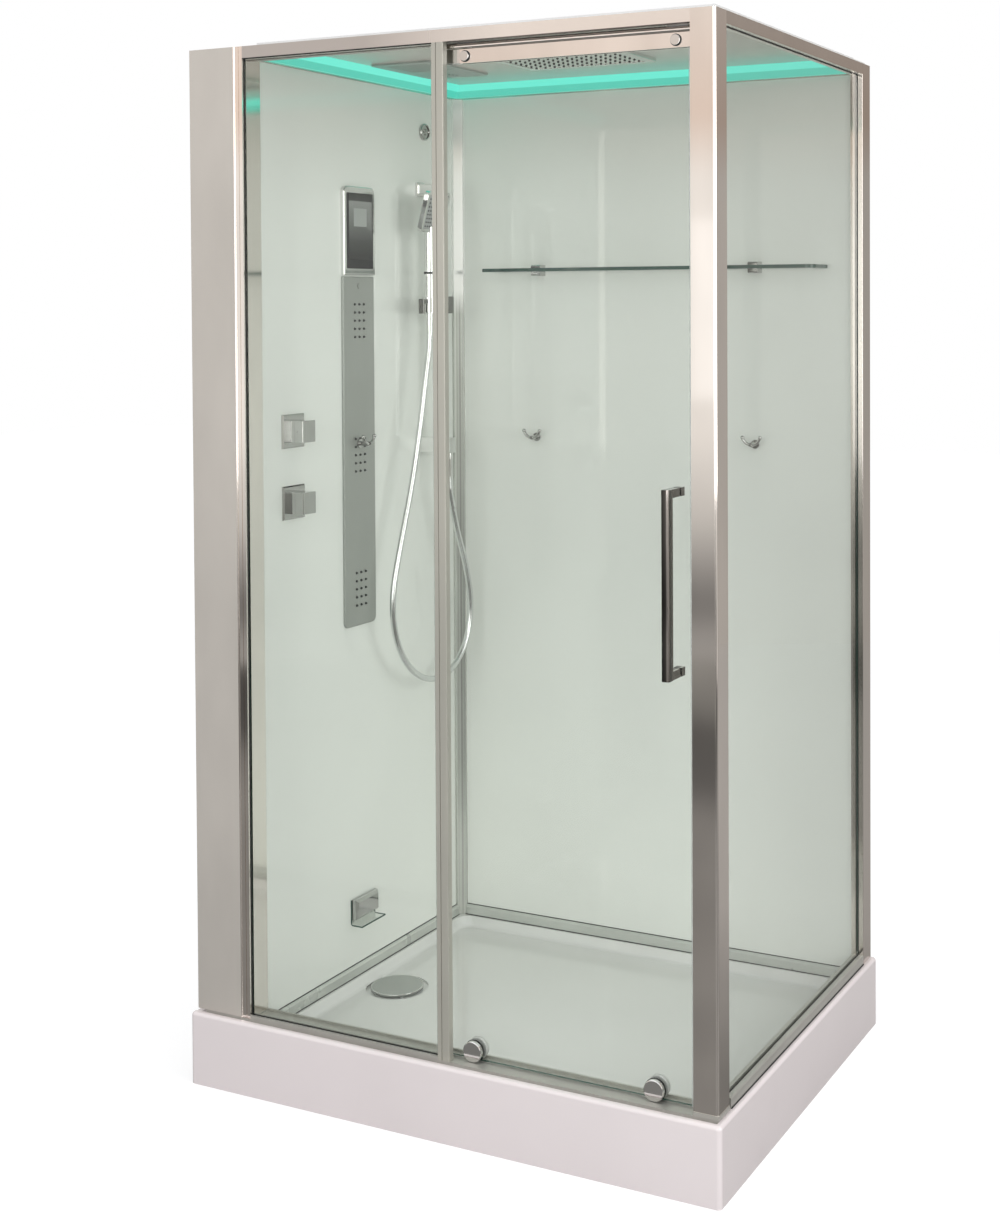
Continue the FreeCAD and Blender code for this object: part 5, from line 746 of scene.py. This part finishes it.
def shade_smooth(mesh, crease):
    """Round faces shade smoothly, and edges sharper than the crease angle stay crisp."""
    mesh.shade_smooth()
    shape = bmesh.new()
    shape.from_mesh(mesh)
    for edge in shape.edges:
        if len(edge.link_faces) == 2 and edge.calc_face_angle() > math.radians(crease):
            edge.smooth = False
    shape.to_mesh(mesh)
    shape.free()


def add_box(shape, corner, opposite):
    """A box between two opposite corners."""
    middle = (Vector(corner) + Vector(opposite)) / 2
    size = [abs(far - near) for near, far in zip(corner, opposite)]
    bmesh.ops.create_cube(shape, size=1, matrix=Matrix.Translation(middle) @ Matrix.Diagonal((*size, 1)))


def add_cone(shape, low, high, low_radius, high_radius, segments=32):
    """A closed upright cone between two points."""
    middle = (Vector(low) + Vector(high)) / 2
    bmesh.ops.create_cone(shape, cap_ends=True, segments=segments, radius1=low_radius, radius2=high_radius,
                          depth=(Vector(high) - Vector(low)).length, matrix=Matrix.Translation(middle))


def ring_edges(ring):
    """The edges of a circle that was just made."""
    return list({edge for vertex in ring["verts"] for edge in vertex.link_edges})


class CabinOperator:
    """What every operator of the cabin has in common."""
    bl_options = {"REGISTER", "UNDO"}


class CABIN_OT_stage(CabinOperator, bpy.types.Operator):
    """Floor, soft light, reflection cards and camera"""
    bl_idname = "cabin.stage"
    bl_label = "Stage"

    def execute(self, context):
        scene = context.scene
        scene.view_settings.view_transform = "Standard"
        add_camera(scene)
        add_floor()
        add_reflection_wall()
        add_reflection_rug()
        add_reflection_windows()
        add_world(scene)
        for name, (place, target, size, power) in SOFT_BOXES.items():
            add_soft_box(name, place, target, size, power)
        for height, power in FILLS:
            add_fill((*FILL_PLACE, height), power)
        return {"FINISHED"}


def add_camera(scene):
    data = bpy.data.cameras.new("view")
    data.sensor_fit = "VERTICAL"
    data.sensor_height = SENSOR_HEIGHT
    data.sensor_width = SENSOR_HEIGHT * PICTURE_WIDTH / PICTURE_HEIGHT
    data.lens = FOCAL_PIXELS / PICTURE_HEIGHT * SENSOR_HEIGHT
    data.shift_x = (PICTURE_WIDTH / 2 - CENTRE_X_PIXELS) / PICTURE_HEIGHT
    data.shift_y = (CENTRE_Y_PIXELS - PICTURE_HEIGHT / 2) / PICTURE_HEIGHT
    camera = bpy.data.objects.new("view", data)
    turn = Matrix.Rotation(math.radians(CAMERA_TURN), 4, "Z")
    tip = Matrix.Rotation(math.radians(90 + CAMERA_PITCH), 4, "X")
    roll = Matrix.Rotation(math.radians(CAMERA_ROLL), 4, "Z")
    camera.matrix_world = Matrix.Translation(CAMERA_PLACE) @ turn @ tip @ roll
    scene.collection.objects.link(camera)
    scene.camera = camera


def add_soft_box(name, place, target, size, power):
    data = bpy.data.lights.new(name, "AREA")
    data.shape = "RECTANGLE"
    data.size, data.size_y = size
    data.energy = power
    lamp = bpy.data.objects.new(name, data)
    lamp.location = place
    lamp.rotation_euler = (Vector(target) - Vector(place)).to_track_quat("-Z", "Y").to_euler()
    bpy.context.scene.collection.objects.link(lamp)


def add_fill(place, power):
    """A soft fill inside the cabin that reflections don't show."""
    data = bpy.data.lights.new("cabin_fill", "POINT")
    data.shadow_soft_size = FILL_RADIUS
    data.energy = power
    lamp = bpy.data.objects.new("cabin_fill", data)
    lamp.location = place
    lamp.visible_camera = False
    lamp.visible_glossy = False
    bpy.context.scene.collection.objects.link(lamp)


def background_share(tree, strength):
    """A strength that only the camera, reflections and panes see, so that it lights nothing."""
    path = node(tree, "ShaderNodeLightPath").outputs
    straight = maths(tree, "MAXIMUM", path["Is Camera Ray"], path["Is Glossy Ray"])
    seen = maths(tree, "MAXIMUM", straight, path["Is Transmission Ray"])
    return maths(tree, "MULTIPLY", seen, strength)


def add_floor():
    """A wide pale floor, white to the camera away from the cabin's shadow."""
    material, tree, shader = new_material("floor_pale")
    cloud = noise(tree, object_place(tree), scale=0.8, detail=2.0)
    feed(tree, shader, {
        "Base Color": shades(tree, cloud, FLOOR_TONE, spread=0.01),
        "Roughness": 0.9,
        "Emission Color": WHITE,
        "Emission Strength": background_share(tree, FLOOR_GLOW),
    })
    shape = bmesh.new()
    bmesh.ops.create_grid(shape, x_segments=2, y_segments=2, size=FLOOR_REACH)
    mesh_object("floor", shape, material)


def stage_card(name, shape, material):
    """A studio card that only reflections see."""
    card = mesh_object(name, shape, material)
    card.visible_camera = False
    card.visible_diffuse = False
    card.visible_transmission = False
    card.visible_shadow = False


def add_reflection_wall():
    """A round studio wall: pale above, dark low down in front, and dimmer to the sides than in front."""
    material, tree, shader = new_material("reflection_wall")
    rise = share_between(tree, axis_value(tree, "Z"), 0.0, WALL_HEIGHT)
    around = ramp(tree, rise, WALL_UPPER_TONES)
    ahead = ramp(tree, rise, WALL_LOWER_TONES + WALL_UPPER_TONES)
    angle = maths(tree, "ARCTAN2", axis_value(tree, "Y"), axis_value(tree, "X"))
    turn = share_between(tree, angle, -math.pi, math.pi)
    heights = blended(tree, within(tree, turn, *WALL_FRONT), around, ahead)
    dim = ramp(tree, turn, WALL_ROUND_TONES)
    feed(tree, shader, {
        "Base Color": BLACK,
        "Emission Color": blended(tree, 1.0, heights, dim, "MULTIPLY"),
        "Emission Strength": 1.0,
    })
    shape = bmesh.new()
    bmesh.ops.create_cone(shape, cap_ends=False, segments=64, radius1=WALL_RADIUS, radius2=WALL_RADIUS,
                          depth=WALL_HEIGHT, matrix=Matrix.Translation((0, 0, WALL_HEIGHT / 2)))
    stage_card("reflection_wall", shape, material)


def add_reflection_rug():
    """A card on the floor round the cabin, mottled, with a dark band in front and paler behind."""
    material, tree, shader = new_material("reflection_rug")
    mottle = noise(tree, object_place(tree), scale=1.4, detail=3.0)
    bands = ramp(tree, share_between(tree, axis_value(tree, "Y"), RUG_NEAR, 0.0), RUG_BANDS)
    front = blended(tree, 1.0, bands, ramp(tree, mottle, RUG_PATCHES), "MULTIPLY")
    behind = share_between(tree, axis_value(tree, "Y"), 0.0, 1.0)
    feed(tree, shader, {
        "Base Color": BLACK,
        "Emission Color": blended(tree, behind, front, RUG_BEHIND),
        "Emission Strength": 1.0,
    })
    shape = bmesh.new()
    bmesh.ops.create_circle(shape, cap_ends=True, segments=64, radius=RUG_RADIUS,
                            matrix=Matrix.Translation((0, 0, RUG_HEIGHT)))
    stage_card("reflection_rug", shape, material)


def add_reflection_windows():
    """Tall bright panels in front of the cabin that only reflections see."""
    material, tree, shader = new_material("reflection_windows")
    feed(tree, shader, {
        "Base Color": BLACK,
        "Emission Color": WINDOW_TONE,
        "Emission Strength": WINDOW_GLOW,
    })
    shape = bmesh.new()
    for angle, width, low, high in WINDOWS:
        turn = Matrix.Rotation(math.radians(angle), 4, "Z")
        place = Matrix.Translation((WINDOW_DISTANCE, 0, (low + high) / 2))
        stand = Matrix.Rotation(math.pi / 2, 4, "Y") @ Matrix.Diagonal((high - low, width, 1, 1))
        bmesh.ops.create_grid(shape, x_segments=1, y_segments=1, size=0.5, matrix=turn @ place @ stand)
    stage_card("reflection_windows", shape, material)


def add_world(scene):
    """Even soft light, and white where the camera looks past the cabin."""
    world = bpy.data.worlds.new("studio")
    world.use_nodes = True
    scene.world = world
    tree = world.node_tree
    tree.nodes.clear()
    even = node(tree, "ShaderNodeBackground", {"Color": EVEN_TONE, "Strength": EVEN_STRENGTH})
    white = node(tree, "ShaderNodeBackground", {"Color": WHITE, "Strength": 1.0})
    both = node(tree, "ShaderNodeMixShader", {0: background_share(tree, 1.0), 1: even.outputs[0],
                                             2: white.outputs[0]})
    node(tree, "ShaderNodeOutputWorld", {"Surface": both.outputs[0]})


class CABIN_OT_frame_profiles(CabinOperator, bpy.types.Operator):
    """Finish the aluminium frame"""
    bl_idname = "cabin.frame_profiles"
    bl_label = "Frame profiles"

    def execute(self, context):
        look = finishes()
        column = metal("satin_aluminium_upright", look.aluminium, 0.5, GRAIN_UPRIGHT, metallic=0.3)
        along_y = metal("polished_aluminium_along_y", look.right_header, 0.16, GRAIN_ALONG_Y, 0.03)
        bright = metal("polished_aluminium", look.polished, 0.07, GRAIN_POLISHED, 0.02)
        # The rear post gets a darker copy of the corner post's polished aluminium, as painted shade
        rear = metal("rear_post_shaded_aluminium", look.right_header, 0.1, GRAIN_POLISHED, 0.02)
        rail_x = metal("satin_rail_along_x", look.rail, 0.35, GRAIN_ALONG_X, 0.03, metallic=0.4)
        rail_y = metal("satin_rail_along_y", look.rail, 0.35, GRAIN_ALONG_Y, 0.03, metallic=0.4)
        stile = metal("satin_aluminium_stile", look.stile, 0.4, grain=(400, 400, 4), grain_depth=0.03,
                      metallic=0.35)
        foot = metal("satin_foot_profile", look.foot, 0.3, grain=(5, 5, 400), grain_depth=0.03,
                     metallic=0.35)
        finish_nodes(column, "column_cover")
        finish_nodes(header_metal("header_aluminium"), "front_header")
        finish_nodes(along_y, "right_header", "wall_headers")
        finish_nodes(rail_x, "front_base_rail", "fixed_glass_bead")
        finish_nodes(rail_y, "right_base_rail")
        finish_nodes(foot, "wall_foot_profiles")
        finish_nodes(bright, "corner_post", "left_jamb")
        finish_nodes(rear, "rear_post")
        finish_nodes(corner_metal("corner_painted_reflection"), "inner_corner_profile")
        finish_nodes(stile, "centre_stile")
        new_piece("post_foot_cover", post_foot_cover(), rail_x, "cabin")
        new_piece("jamb_bead", jamb_bead(), bright, "cabin", CREASE_ANGLE)
        return {"FINISHED"}


def jamb_bead():
    """A slim polished bead where the column cover meets the jamb."""
    shape = bmesh.new()
    radius = 0.002
    low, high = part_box("left_jamb")
    add_cone(shape, low, (low[0], low[1], high[2]), radius, radius, segments=16)
    return shape


def post_foot_cover():
    """A low satin collar round the foot of the corner post."""
    shape = bmesh.new()
    proud = 0.0012
    height = 0.008
    low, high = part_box("corner_post")
    top = low[2] + height
    add_box(shape, (low[0], low[1] - proud, low[2]), (high[0] + proud, low[1] + proud, top))
    add_box(shape, (high[0] - proud, low[1] + proud, low[2]), (high[0] + proud, high[1], top))
    return shape


class CABIN_OT_panes(CabinOperator, bpy.types.Operator):
    """Finish the fixed panes and the wall panels"""
    bl_idname = "cabin.panes"
    bl_label = "Panes and wall panels"

    def execute(self, context):
        finish_nodes(clear_glass("front_pane_glass", "Y"), "fixed_glass")
        finish_nodes(clear_glass("side_pane_glass", "X"), "side_glass")
        finish_nodes(wall_glass("wall_glass"), "left_wall_panel", "back_wall_panel")
        return {"FINISHED"}


class CABIN_OT_gaskets(CabinOperator, bpy.types.Operator):
    """Make the black gaskets round the fixed panes, and the joint lines"""
    bl_idname = "cabin.gaskets"
    bl_label = "Glazing gaskets"

    def execute(self, context):
        rubber = plastic("gasket_rubber", finishes().gasket, 0.5)
        shape = bmesh.new()
        add_front_gasket(shape)
        add_side_gasket(shape)
        add_joint_lines(shape)
        new_piece("glazing_gaskets", shape, rubber, "cabin")
        return {"FINISHED"}


def strips_round(start, end, bottom, top, width):
    """The four strips round a pane, each with where it starts and ends and its foot and top."""
    return (
        (start, start + width, bottom, top),
        (end - width, end, bottom, top),
        (start + width, end - width, bottom, bottom + width),
        (start + width, end - width, top - width, top),
    )


def add_front_gasket(shape):
    """Strips in front of the fixed pane, along the jamb, the stile, the bead and the header."""
    width = sizes().gasket
    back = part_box("fixed_glass")[0][1]
    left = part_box("left_jamb")[1][0]
    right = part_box("centre_stile")[0][0]
    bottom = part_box("fixed_glass_bead")[1][2]
    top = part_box("centre_stile")[1][2]
    for start, end, low, high in strips_round(left, right, bottom, top, width):
        add_box(shape, (start, back - width, low), (end, back, high))


def add_side_gasket(shape):
    """Slimmer strips outside the side pane, along the posts, the base rail and the header."""
    width = sizes().gasket * SIDE_GASKET_SHARE
    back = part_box("side_glass")[1][0]
    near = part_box("corner_post")[1][1]
    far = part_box("rear_post")[0][1]
    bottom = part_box("right_base_rail")[1][2]
    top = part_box("right_header")[0][2]
    for start, end, low, high in strips_round(near, far, bottom, top, width):
        add_box(shape, (back, start, low), (back + width, end, high))


def add_joint_lines(shape):
    """Dark lines below the right base rail, and above and below the wall foot profiles."""
    line = 0.0016
    proud = line / 2
    rail_line = 0.006
    low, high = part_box("right_base_rail")
    add_box(shape, (high[0], low[1], low[2]), (high[0] + line, high[1], low[2] + rail_line))
    low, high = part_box("wall_foot_profiles")
    profile_x = low[0] + FOOT_PROFILE_DEPTH
    profile_y = high[1] - FOOT_PROFILE_DEPTH
    wall_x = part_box("left_wall_panel")[1][0]
    wall_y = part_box("back_wall_panel")[0][1]
    for x, y, foot in ((profile_x, profile_y, low[2]), (wall_x, wall_y, high[2])):
        add_box(shape, (x, low[1], foot), (x + proud, y, foot + line))
        add_box(shape, (x, y - proud, foot), (high[0], y, foot + line))


class CABIN_OT_tray(CabinOperator, bpy.types.Operator):
    """Finish the tray, its supports and its drain"""
    bl_idname = "cabin.tray"
    bl_label = "Tray and drain"

    def execute(self, context):
        look = finishes()
        brushed = metal("drain_brushed", look.drain, 0.3, grain=(4, 300, 60), grain_depth=0.1, metallic=0.7)
        chrome = fitting_chrome("drain_rim_chrome", look.chrome, 0.06)
        finish_nodes(acrylic("white_acrylic"), "shower_tray")
        finish_nodes(metal("galvanised_steel", look.steel, 0.4), "support_bars")
        finish_nodes(plastic("black_foot_plastic", look.feet, 0.5), "levelling_feet")
        finish_nodes(plastic("grey_trap_plastic", look.trap, 0.45), "waste_trap")
        finish_nodes(brushed, "drain_cover")
        new_piece("drain_rim", drain_rim(), chrome, "drain_cover", CREASE_ANGLE)
        return {"FINISHED"}


def drain_rim():
    """A slim rounded chrome rim along the drain cover's upper edge."""
    shape = bmesh.new()
    wire = 0.0012
    low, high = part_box("drain_cover")
    middle = (Vector(low) + Vector(high)) / 2
    radius = (high[0] - low[0]) / 2
    edge = Matrix.Translation((middle.x + radius, middle.y, high[2] - wire))
    ring = bmesh.ops.create_circle(shape, segments=10, radius=wire,
                                   matrix=edge @ Matrix.Rotation(math.pi / 2, 4, "X"))
    bmesh.ops.spin(shape, geom=ring_edges(ring), cent=middle, axis=(0, 0, 1), angle=2 * math.pi, steps=72,
                   use_merge=True)
    bmesh.ops.remove_doubles(shape, verts=shape.verts, dist=MERGE_DISTANCE)
    bmesh.ops.recalc_face_normals(shape, faces=shape.faces)
    return shape


class CABIN_OT_ceiling(CabinOperator, bpy.types.Operator):
    """Finish the roof, the light strip, the rain head, the speaker and the grille"""
    bl_idname = "cabin.ceiling"
    bl_label = "Ceiling"

    def execute(self, context):
        look = finishes()
        speaker = metal("speaker_chrome", look.valve_chrome, 0.06, GRAIN_CEILING, 0.02)
        finish_nodes(roof_sheet("roof_sheet"), "roof_panel")
        finish_nodes(light_diffuser("lit_strip"), "light_strips")
        finish_nodes(metal("ceiling_chrome", look.chrome, 0.18, GRAIN_CEILING), "rain_head")
        finish_nodes(speaker, "wall_speaker")
        finish_nodes(plastic("grille_grey", look.grille, 0.35), "ceiling_grille")
        finish_nodes(plastic("nozzle_rubber", look.nozzle, 0.55), "spray_nozzles")
        return {"FINISHED"}


class CABIN_OT_control_column(CabinOperator, bpy.types.Operator):
    """Finish the shower panel, the control head and its screen"""
    bl_idname = "cabin.control_column"
    bl_label = "Control column"

    def execute(self, context):
        look = finishes()
        finish_nodes(metal("panel_satin", look.panel, 0.4, GRAIN_UPRIGHT, metallic=0.35), "shower_panel")
        finish_nodes(metal("head_silver", look.head_silver, 0.12), "control_head")
        finish_nodes(control_glass("screen_black"), "control_screen")
        return {"FINISHED"}


class CABIN_OT_valves(CabinOperator, bpy.types.Operator):
    """Finish the valves, the pipes and the steam gear"""
    bl_idname = "cabin.valves"
    bl_label = "Valves, pipes and steam"

    def execute(self, context):
        look = finishes()
        chrome = fitting_chrome("valve_chrome", look.valve_chrome, 0.06)
        finish_nodes(chrome, "valve_trims", "diverter_knob", "mixer_knob")
        finish_nodes(fitting_chrome("outlet_chrome", look.valve_chrome, 0.04), "steam_outlet")
        brass = metal("cast_brass", look.brass, 0.4, grain=(90, 90, 90), grain_depth=0.2)
        finish_nodes(brass, "valve_bodies")
        finish_nodes(plastic("pipe_grey", look.pipe, 0.4), "supply_pipes")
        finish_nodes(plastic("generator_white", look.generator, 0.35), "steam_generator")
        finish_nodes(clear_glass("guard_acrylic", "Y", guard_edge), "steam_guard")
        return {"FINISHED"}


class CABIN_OT_hand_shower(CabinOperator, bpy.types.Operator):
    """Finish the riser rail, the slider and the hand shower"""
    bl_idname = "cabin.hand_shower"
    bl_label = "Hand shower"

    def execute(self, context):
        look = finishes()
        chrome = fitting_chrome("rail_chrome", look.chrome)
        finish_nodes(chrome, "riser_rail", "rail_brackets", "handset_cradle", "handset")
        finish_nodes(fitting_chrome("slider_chrome", look.dark_chrome), "slider", "release_lever")
        rubber = plastic("hand_nozzle_rubber", look.nozzle, 0.55)
        grey = plastic("spray_plate_grey", look.spray_plate, 0.35, grain=600.0, depth=0.05)
        new_piece("hand_spray_plate", hand_spray_plate(), grey, "handset")
        new_piece("hand_nozzles", hand_nozzle_rows(), rubber, "handset")
        new_piece("handset_ring", handset_ring(), rubber, "handset", CREASE_ANGLE)
        return {"FINISHED"}


def hand_head_place():
    """The tipped frame of the hand shower's head, with its face along X."""
    return Matrix.Translation(HAND_HEAD_FOOT) @ Matrix.Rotation(math.radians(HAND_HEAD_TILT), 4, "Y")


def hand_spray_plate():
    """The thin grey plate that the hand shower's nozzles stand on."""
    shape = bmesh.new()
    border = 0.005
    sunk = 0.0005
    proud = 0.0007
    half = HAND_HEAD_SIZE / 2 - border
    add_box(shape, (HAND_HEAD_FACE - sunk, -half, border), (HAND_HEAD_FACE + proud, half, border + 2 * half))
    bmesh.ops.transform(shape, matrix=hand_head_place(), verts=shape.verts)
    return shape


def hand_nozzle_rows():
    """Rows of nozzles on the tipped face of the hand shower's head."""
    shape = bmesh.new()
    count = sizes().hand_rows
    border = 0.014
    reach = 0.0022
    pitch = (HAND_HEAD_SIZE - 2 * border) / (count - 1)
    head = hand_head_place()
    turn = Matrix.Rotation(math.pi / 2, 4, "Y")
    root = sizes().hand_nozzle
    tip = root * NOZZLE_TIP_SHARE
    for row in range(count):
        for column in range(count):
            across = pitch * column + border - HAND_HEAD_SIZE / 2
            place = (HAND_HEAD_FACE + reach / 2, across, border + pitch * row)
            bmesh.ops.create_cone(shape, cap_ends=True, segments=10, radius1=root, radius2=tip, depth=reach,
                                  matrix=head @ Matrix.Translation(place) @ turn)
    return shape


def handset_ring():
    """The black ring round the handset's grip."""
    shape = bmesh.new()
    x, y, head_foot = HAND_HEAD_FOOT
    add_cone(shape, (x, y, head_foot - HANDSET_RING_FOOT), (x, y, head_foot - HANDSET_RING_TOP),
             HANDSET_RING_RADIUS, HANDSET_RING_RADIUS)
    return shape


class CABIN_OT_hose(CabinOperator, bpy.types.Operator):
    """Make the shower hose and its sleeves"""
    bl_idname = "cabin.hose"
    bl_label = "Shower hose"

    def execute(self, context):
        look = finishes()
        size = sizes()
        path = hose_path()
        silver = metal("hose_silver", look.hose, 0.25, grain=(200, 200, 200))
        tube = tube_along(path, size.hose_diameter / 2, segments=20)
        hose = new_piece("silver_hose", tube, silver, None, HOSE_CREASE_ANGLE)
        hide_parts("shower_hose")
        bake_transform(hose)
        chrome = fitting_chrome("sleeve_chrome", look.chrome)
        rise = Vector((0, 0, size.sleeve_length))
        outlet = Vector(HOSE_ROUTE[0])
        lower_sleeve = hose_sleeve(outlet - rise, outlet)
        new_piece("outlet_sleeve", lower_sleeve, chrome, "cabin", CREASE_ANGLE)
        grip = Vector(HOSE_ROUTE[-1])
        upper_sleeve = hose_sleeve(grip - rise, grip)
        bending = new_piece("grip_sleeve", upper_sleeve, chrome, None, CREASE_ANGLE)
        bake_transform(bending)
        return {"FINISHED"}


def hose_sleeve(low, high):
    """A tapered sleeve over an end of the hose, wider at the nut."""
    shape = bmesh.new()
    radius = sizes().hose_diameter / 2
    add_cone(shape, low, high, radius * SLEEVE_TAIL, radius * SLEEVE_NUT)
    return shape


def hose_path():
    """Points along the smooth curve of the hose's route."""
    curve = bpy.data.curves.new("hose_route", "CURVE")
    curve.dimensions = "3D"
    curve.resolution_u = 10
    spline = curve.splines.new("NURBS")
    spline.points.add(len(HOSE_ROUTE) - 1)
    for point, place in zip(spline.points, HOSE_ROUTE):
        point.co = (*place, 1)
    spline.order_u = 3
    spline.use_endpoint_u = True
    route = bpy.data.objects.new("hose_route", curve)
    bpy.context.collection.objects.link(route)
    mesh = bpy.data.meshes.new_from_object(route)
    path = [vertex.co.copy() for vertex in mesh.vertices]
    bpy.data.objects.remove(route)
    bpy.data.curves.remove(curve)
    bpy.data.meshes.remove(mesh)
    return path


def tube_along(path, radius, segments):
    """A closed tube: a ring at each point of the path, bridged to the next."""
    shape = bmesh.new()
    rings = []
    sideways = Vector((1, 0, 0))
    for index, place in enumerate(path):
        before = path[max(index - 1, 0)]
        after = path[min(index + 1, len(path) - 1)]
        forward = (after - before).normalized()
        side = forward.cross(sideways).normalized()
        other = side.cross(forward)
        turn = Matrix((side, other, forward)).transposed().to_4x4()
        made = bmesh.ops.create_circle(shape, segments=segments, radius=radius,
                                       matrix=Matrix.Translation(place) @ turn)
        ring = ring_edges(made)
        if rings:
            bmesh.ops.bridge_loops(shape, edges=rings[-1] + ring)
        rings.append(ring)
    for ring in (rings[0], rings[-1]):
        bmesh.ops.edgeloop_fill(shape, edges=ring)
    bmesh.ops.recalc_face_normals(shape, faces=shape.faces)
    return shape


class CABIN_OT_shelf_and_hooks(CabinOperator, bpy.types.Operator):
    """Finish the glass shelf, its clamps and the robe hooks"""
    bl_idname = "cabin.shelf_and_hooks"
    bl_label = "Shelf and hooks"

    def execute(self, context):
        chrome = fitting_chrome("hook_chrome", finishes().valve_chrome, 0.06)
        finish_nodes(clear_glass("shelf_glass", "Z"), "glass_shelf")
        finish_nodes(chrome, "shelf_clamps", "robe_hooks")
        new_piece("panel_hook", panel_hook(), chrome, "cabin", CREASE_ANGLE)
        return {"FINISHED"}


def panel_hook():
    """A third robe hook, on the shower panel: a copy of the left one on the back wall, turned."""
    shape = bmesh.new()
    shape.from_mesh(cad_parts["robe_hooks"].data)
    low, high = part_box("robe_hooks")
    middle = (low[0] + high[0]) / 2
    other = [vertex for vertex in shape.verts if vertex.co.x > middle]
    bmesh.ops.delete(shape, geom=other, context="VERTS")
    bmesh.ops.remove_doubles(shape, verts=shape.verts, dist=MERGE_DISTANCE)
    across = [vertex.co.x for vertex in shape.verts]
    foot = Vector(((min(across) + max(across)) / 2, high[1], 0))
    turn = Matrix.Rotation(math.pi / 2, 4, "Z")
    place = Matrix.Translation(PANEL_HOOK_FOOT) @ turn @ Matrix.Translation(-foot)
    bmesh.ops.transform(shape, matrix=place, verts=shape.verts)
    return shape


class CABIN_OT_sliding_door(CabinOperator, bpy.types.Operator):
    """Finish the sliding door and its rollers"""
    bl_idname = "cabin.sliding_door"
    bl_label = "Sliding door"

    def execute(self, context):
        look = finishes()
        nylon = plastic("wheel_nylon", look.nylon, 0.4)
        black = plastic("cap_ring_black", look.washer, 0.4)
        finish_nodes(clear_glass("door_pane_glass", "Y"), "door_glass")
        finish_nodes(metal("door_rail_aluminium", look.polished, 0.15, GRAIN_ALONG_X), "door_top_rail")
        finish_nodes(fitting_chrome("door_chrome", look.chrome), "door_rail_caps", "lower_roller_caps")
        finish_nodes(handle_painted_reflections("handle_painted_reflections"), "door_handle")
        finish_nodes(metal("hanger_steel", look.steel, 0.35), "roller_hangers")
        finish_nodes(nylon, "upper_wheels_left", "upper_wheels_right")
        finish_nodes(nylon, "lower_wheel_left", "lower_wheel_right")
        finish_nodes(door_seal_vinyl("seal_vinyl"), "door_seals")
        new_piece("cap_rings", cap_rings(), black, "door", CREASE_ANGLE)
        return {"FINISHED"}


def cap_rings():
    """Black rings round the feet of the door's round caps, above and below."""
    shape = bmesh.new()
    low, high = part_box("lower_roller_caps")
    radius = (high[2] - low[2]) / 2
    height = (high[2] + low[2]) / 2
    cap_back = low[1] + LOWER_CAP_LENGTH
    for x in (low[0] + radius, high[0] - radius):
        add_cap_ring(shape, (x, cap_back, height), radius + LOWER_RING_PROUD, LOWER_RING_DEPTH)
    for x in TOP_CAPS:
        foot = (x, TOP_CAP_BACK, TOP_CAP_HEIGHT)
        add_cap_ring(shape, foot, TOP_CAP_RADIUS + TOP_RING_PROUD, TOP_RING_DEPTH)
    return shape


def add_cap_ring(shape, foot, rim, depth):
    """A ring that stands this deep in front of a cap's foot."""
    x, back, z = foot
    place = Matrix.Translation((x, back - depth / 2, z)) @ Matrix.Rotation(math.pi / 2, 4, "X")
    bmesh.ops.create_cone(shape, cap_ends=True, segments=48, radius1=rim, radius2=rim, depth=depth,
                          matrix=place)


OPERATORS = (
    CABIN_OT_stage,
    CABIN_OT_hose,
    CABIN_OT_frame_profiles,
    CABIN_OT_panes,
    CABIN_OT_gaskets,
    CABIN_OT_tray,
    CABIN_OT_ceiling,
    CABIN_OT_control_column,
    CABIN_OT_valves,
    CABIN_OT_hand_shower,
    CABIN_OT_shelf_and_hooks,
    CABIN_OT_sliding_door,
)


class CABIN_PT_panel(bpy.types.Panel):
    """The cabin's finishes, sizes and steps"""
    bl_idname = "CABIN_PT_panel"
    bl_label = "Shower cabin"
    bl_space_type = "VIEW_3D"
    bl_region_type = "UI"
    bl_category = "Cabin"

    def draw(self, context):
        for group in (context.scene.cabin_finishes, context.scene.cabin_sizes):
            box = self.layout.box()
            for name in group.__annotations__:
                box.prop(group, name)
        for operator in OPERATORS:
            self.layout.operator(operator.bl_idname)


CLASSES = (CabinFinishes, CabinSizes) + OPERATORS + (CABIN_PT_panel,)


def register():
    for item in CLASSES:
        bpy.utils.register_class(item)
    bpy.types.Scene.cabin_finishes = bpy.props.PointerProperty(type=CabinFinishes)
    bpy.types.Scene.cabin_sizes = bpy.props.PointerProperty(type=CabinSizes)


def unregister():
    del bpy.types.Scene.cabin_sizes
    del bpy.types.Scene.cabin_finishes
    for item in reversed(CLASSES):
        bpy.utils.unregister_class(item)


def main():
    register()
    bpy.ops.cabin.stage()
    bpy.ops.cabin.hose()
    bpy.ops.cabin.frame_profiles()
    bpy.ops.cabin.panes()
    bpy.ops.cabin.gaskets()
    bpy.ops.cabin.tray()
    bpy.ops.cabin.ceiling()
    bpy.ops.cabin.control_column()
    bpy.ops.cabin.valves()
    bpy.ops.cabin.hand_shower()
    bpy.ops.cabin.shelf_and_hooks()
    bpy.ops.cabin.sliding_door()


if __name__ == "__main__":
    main()
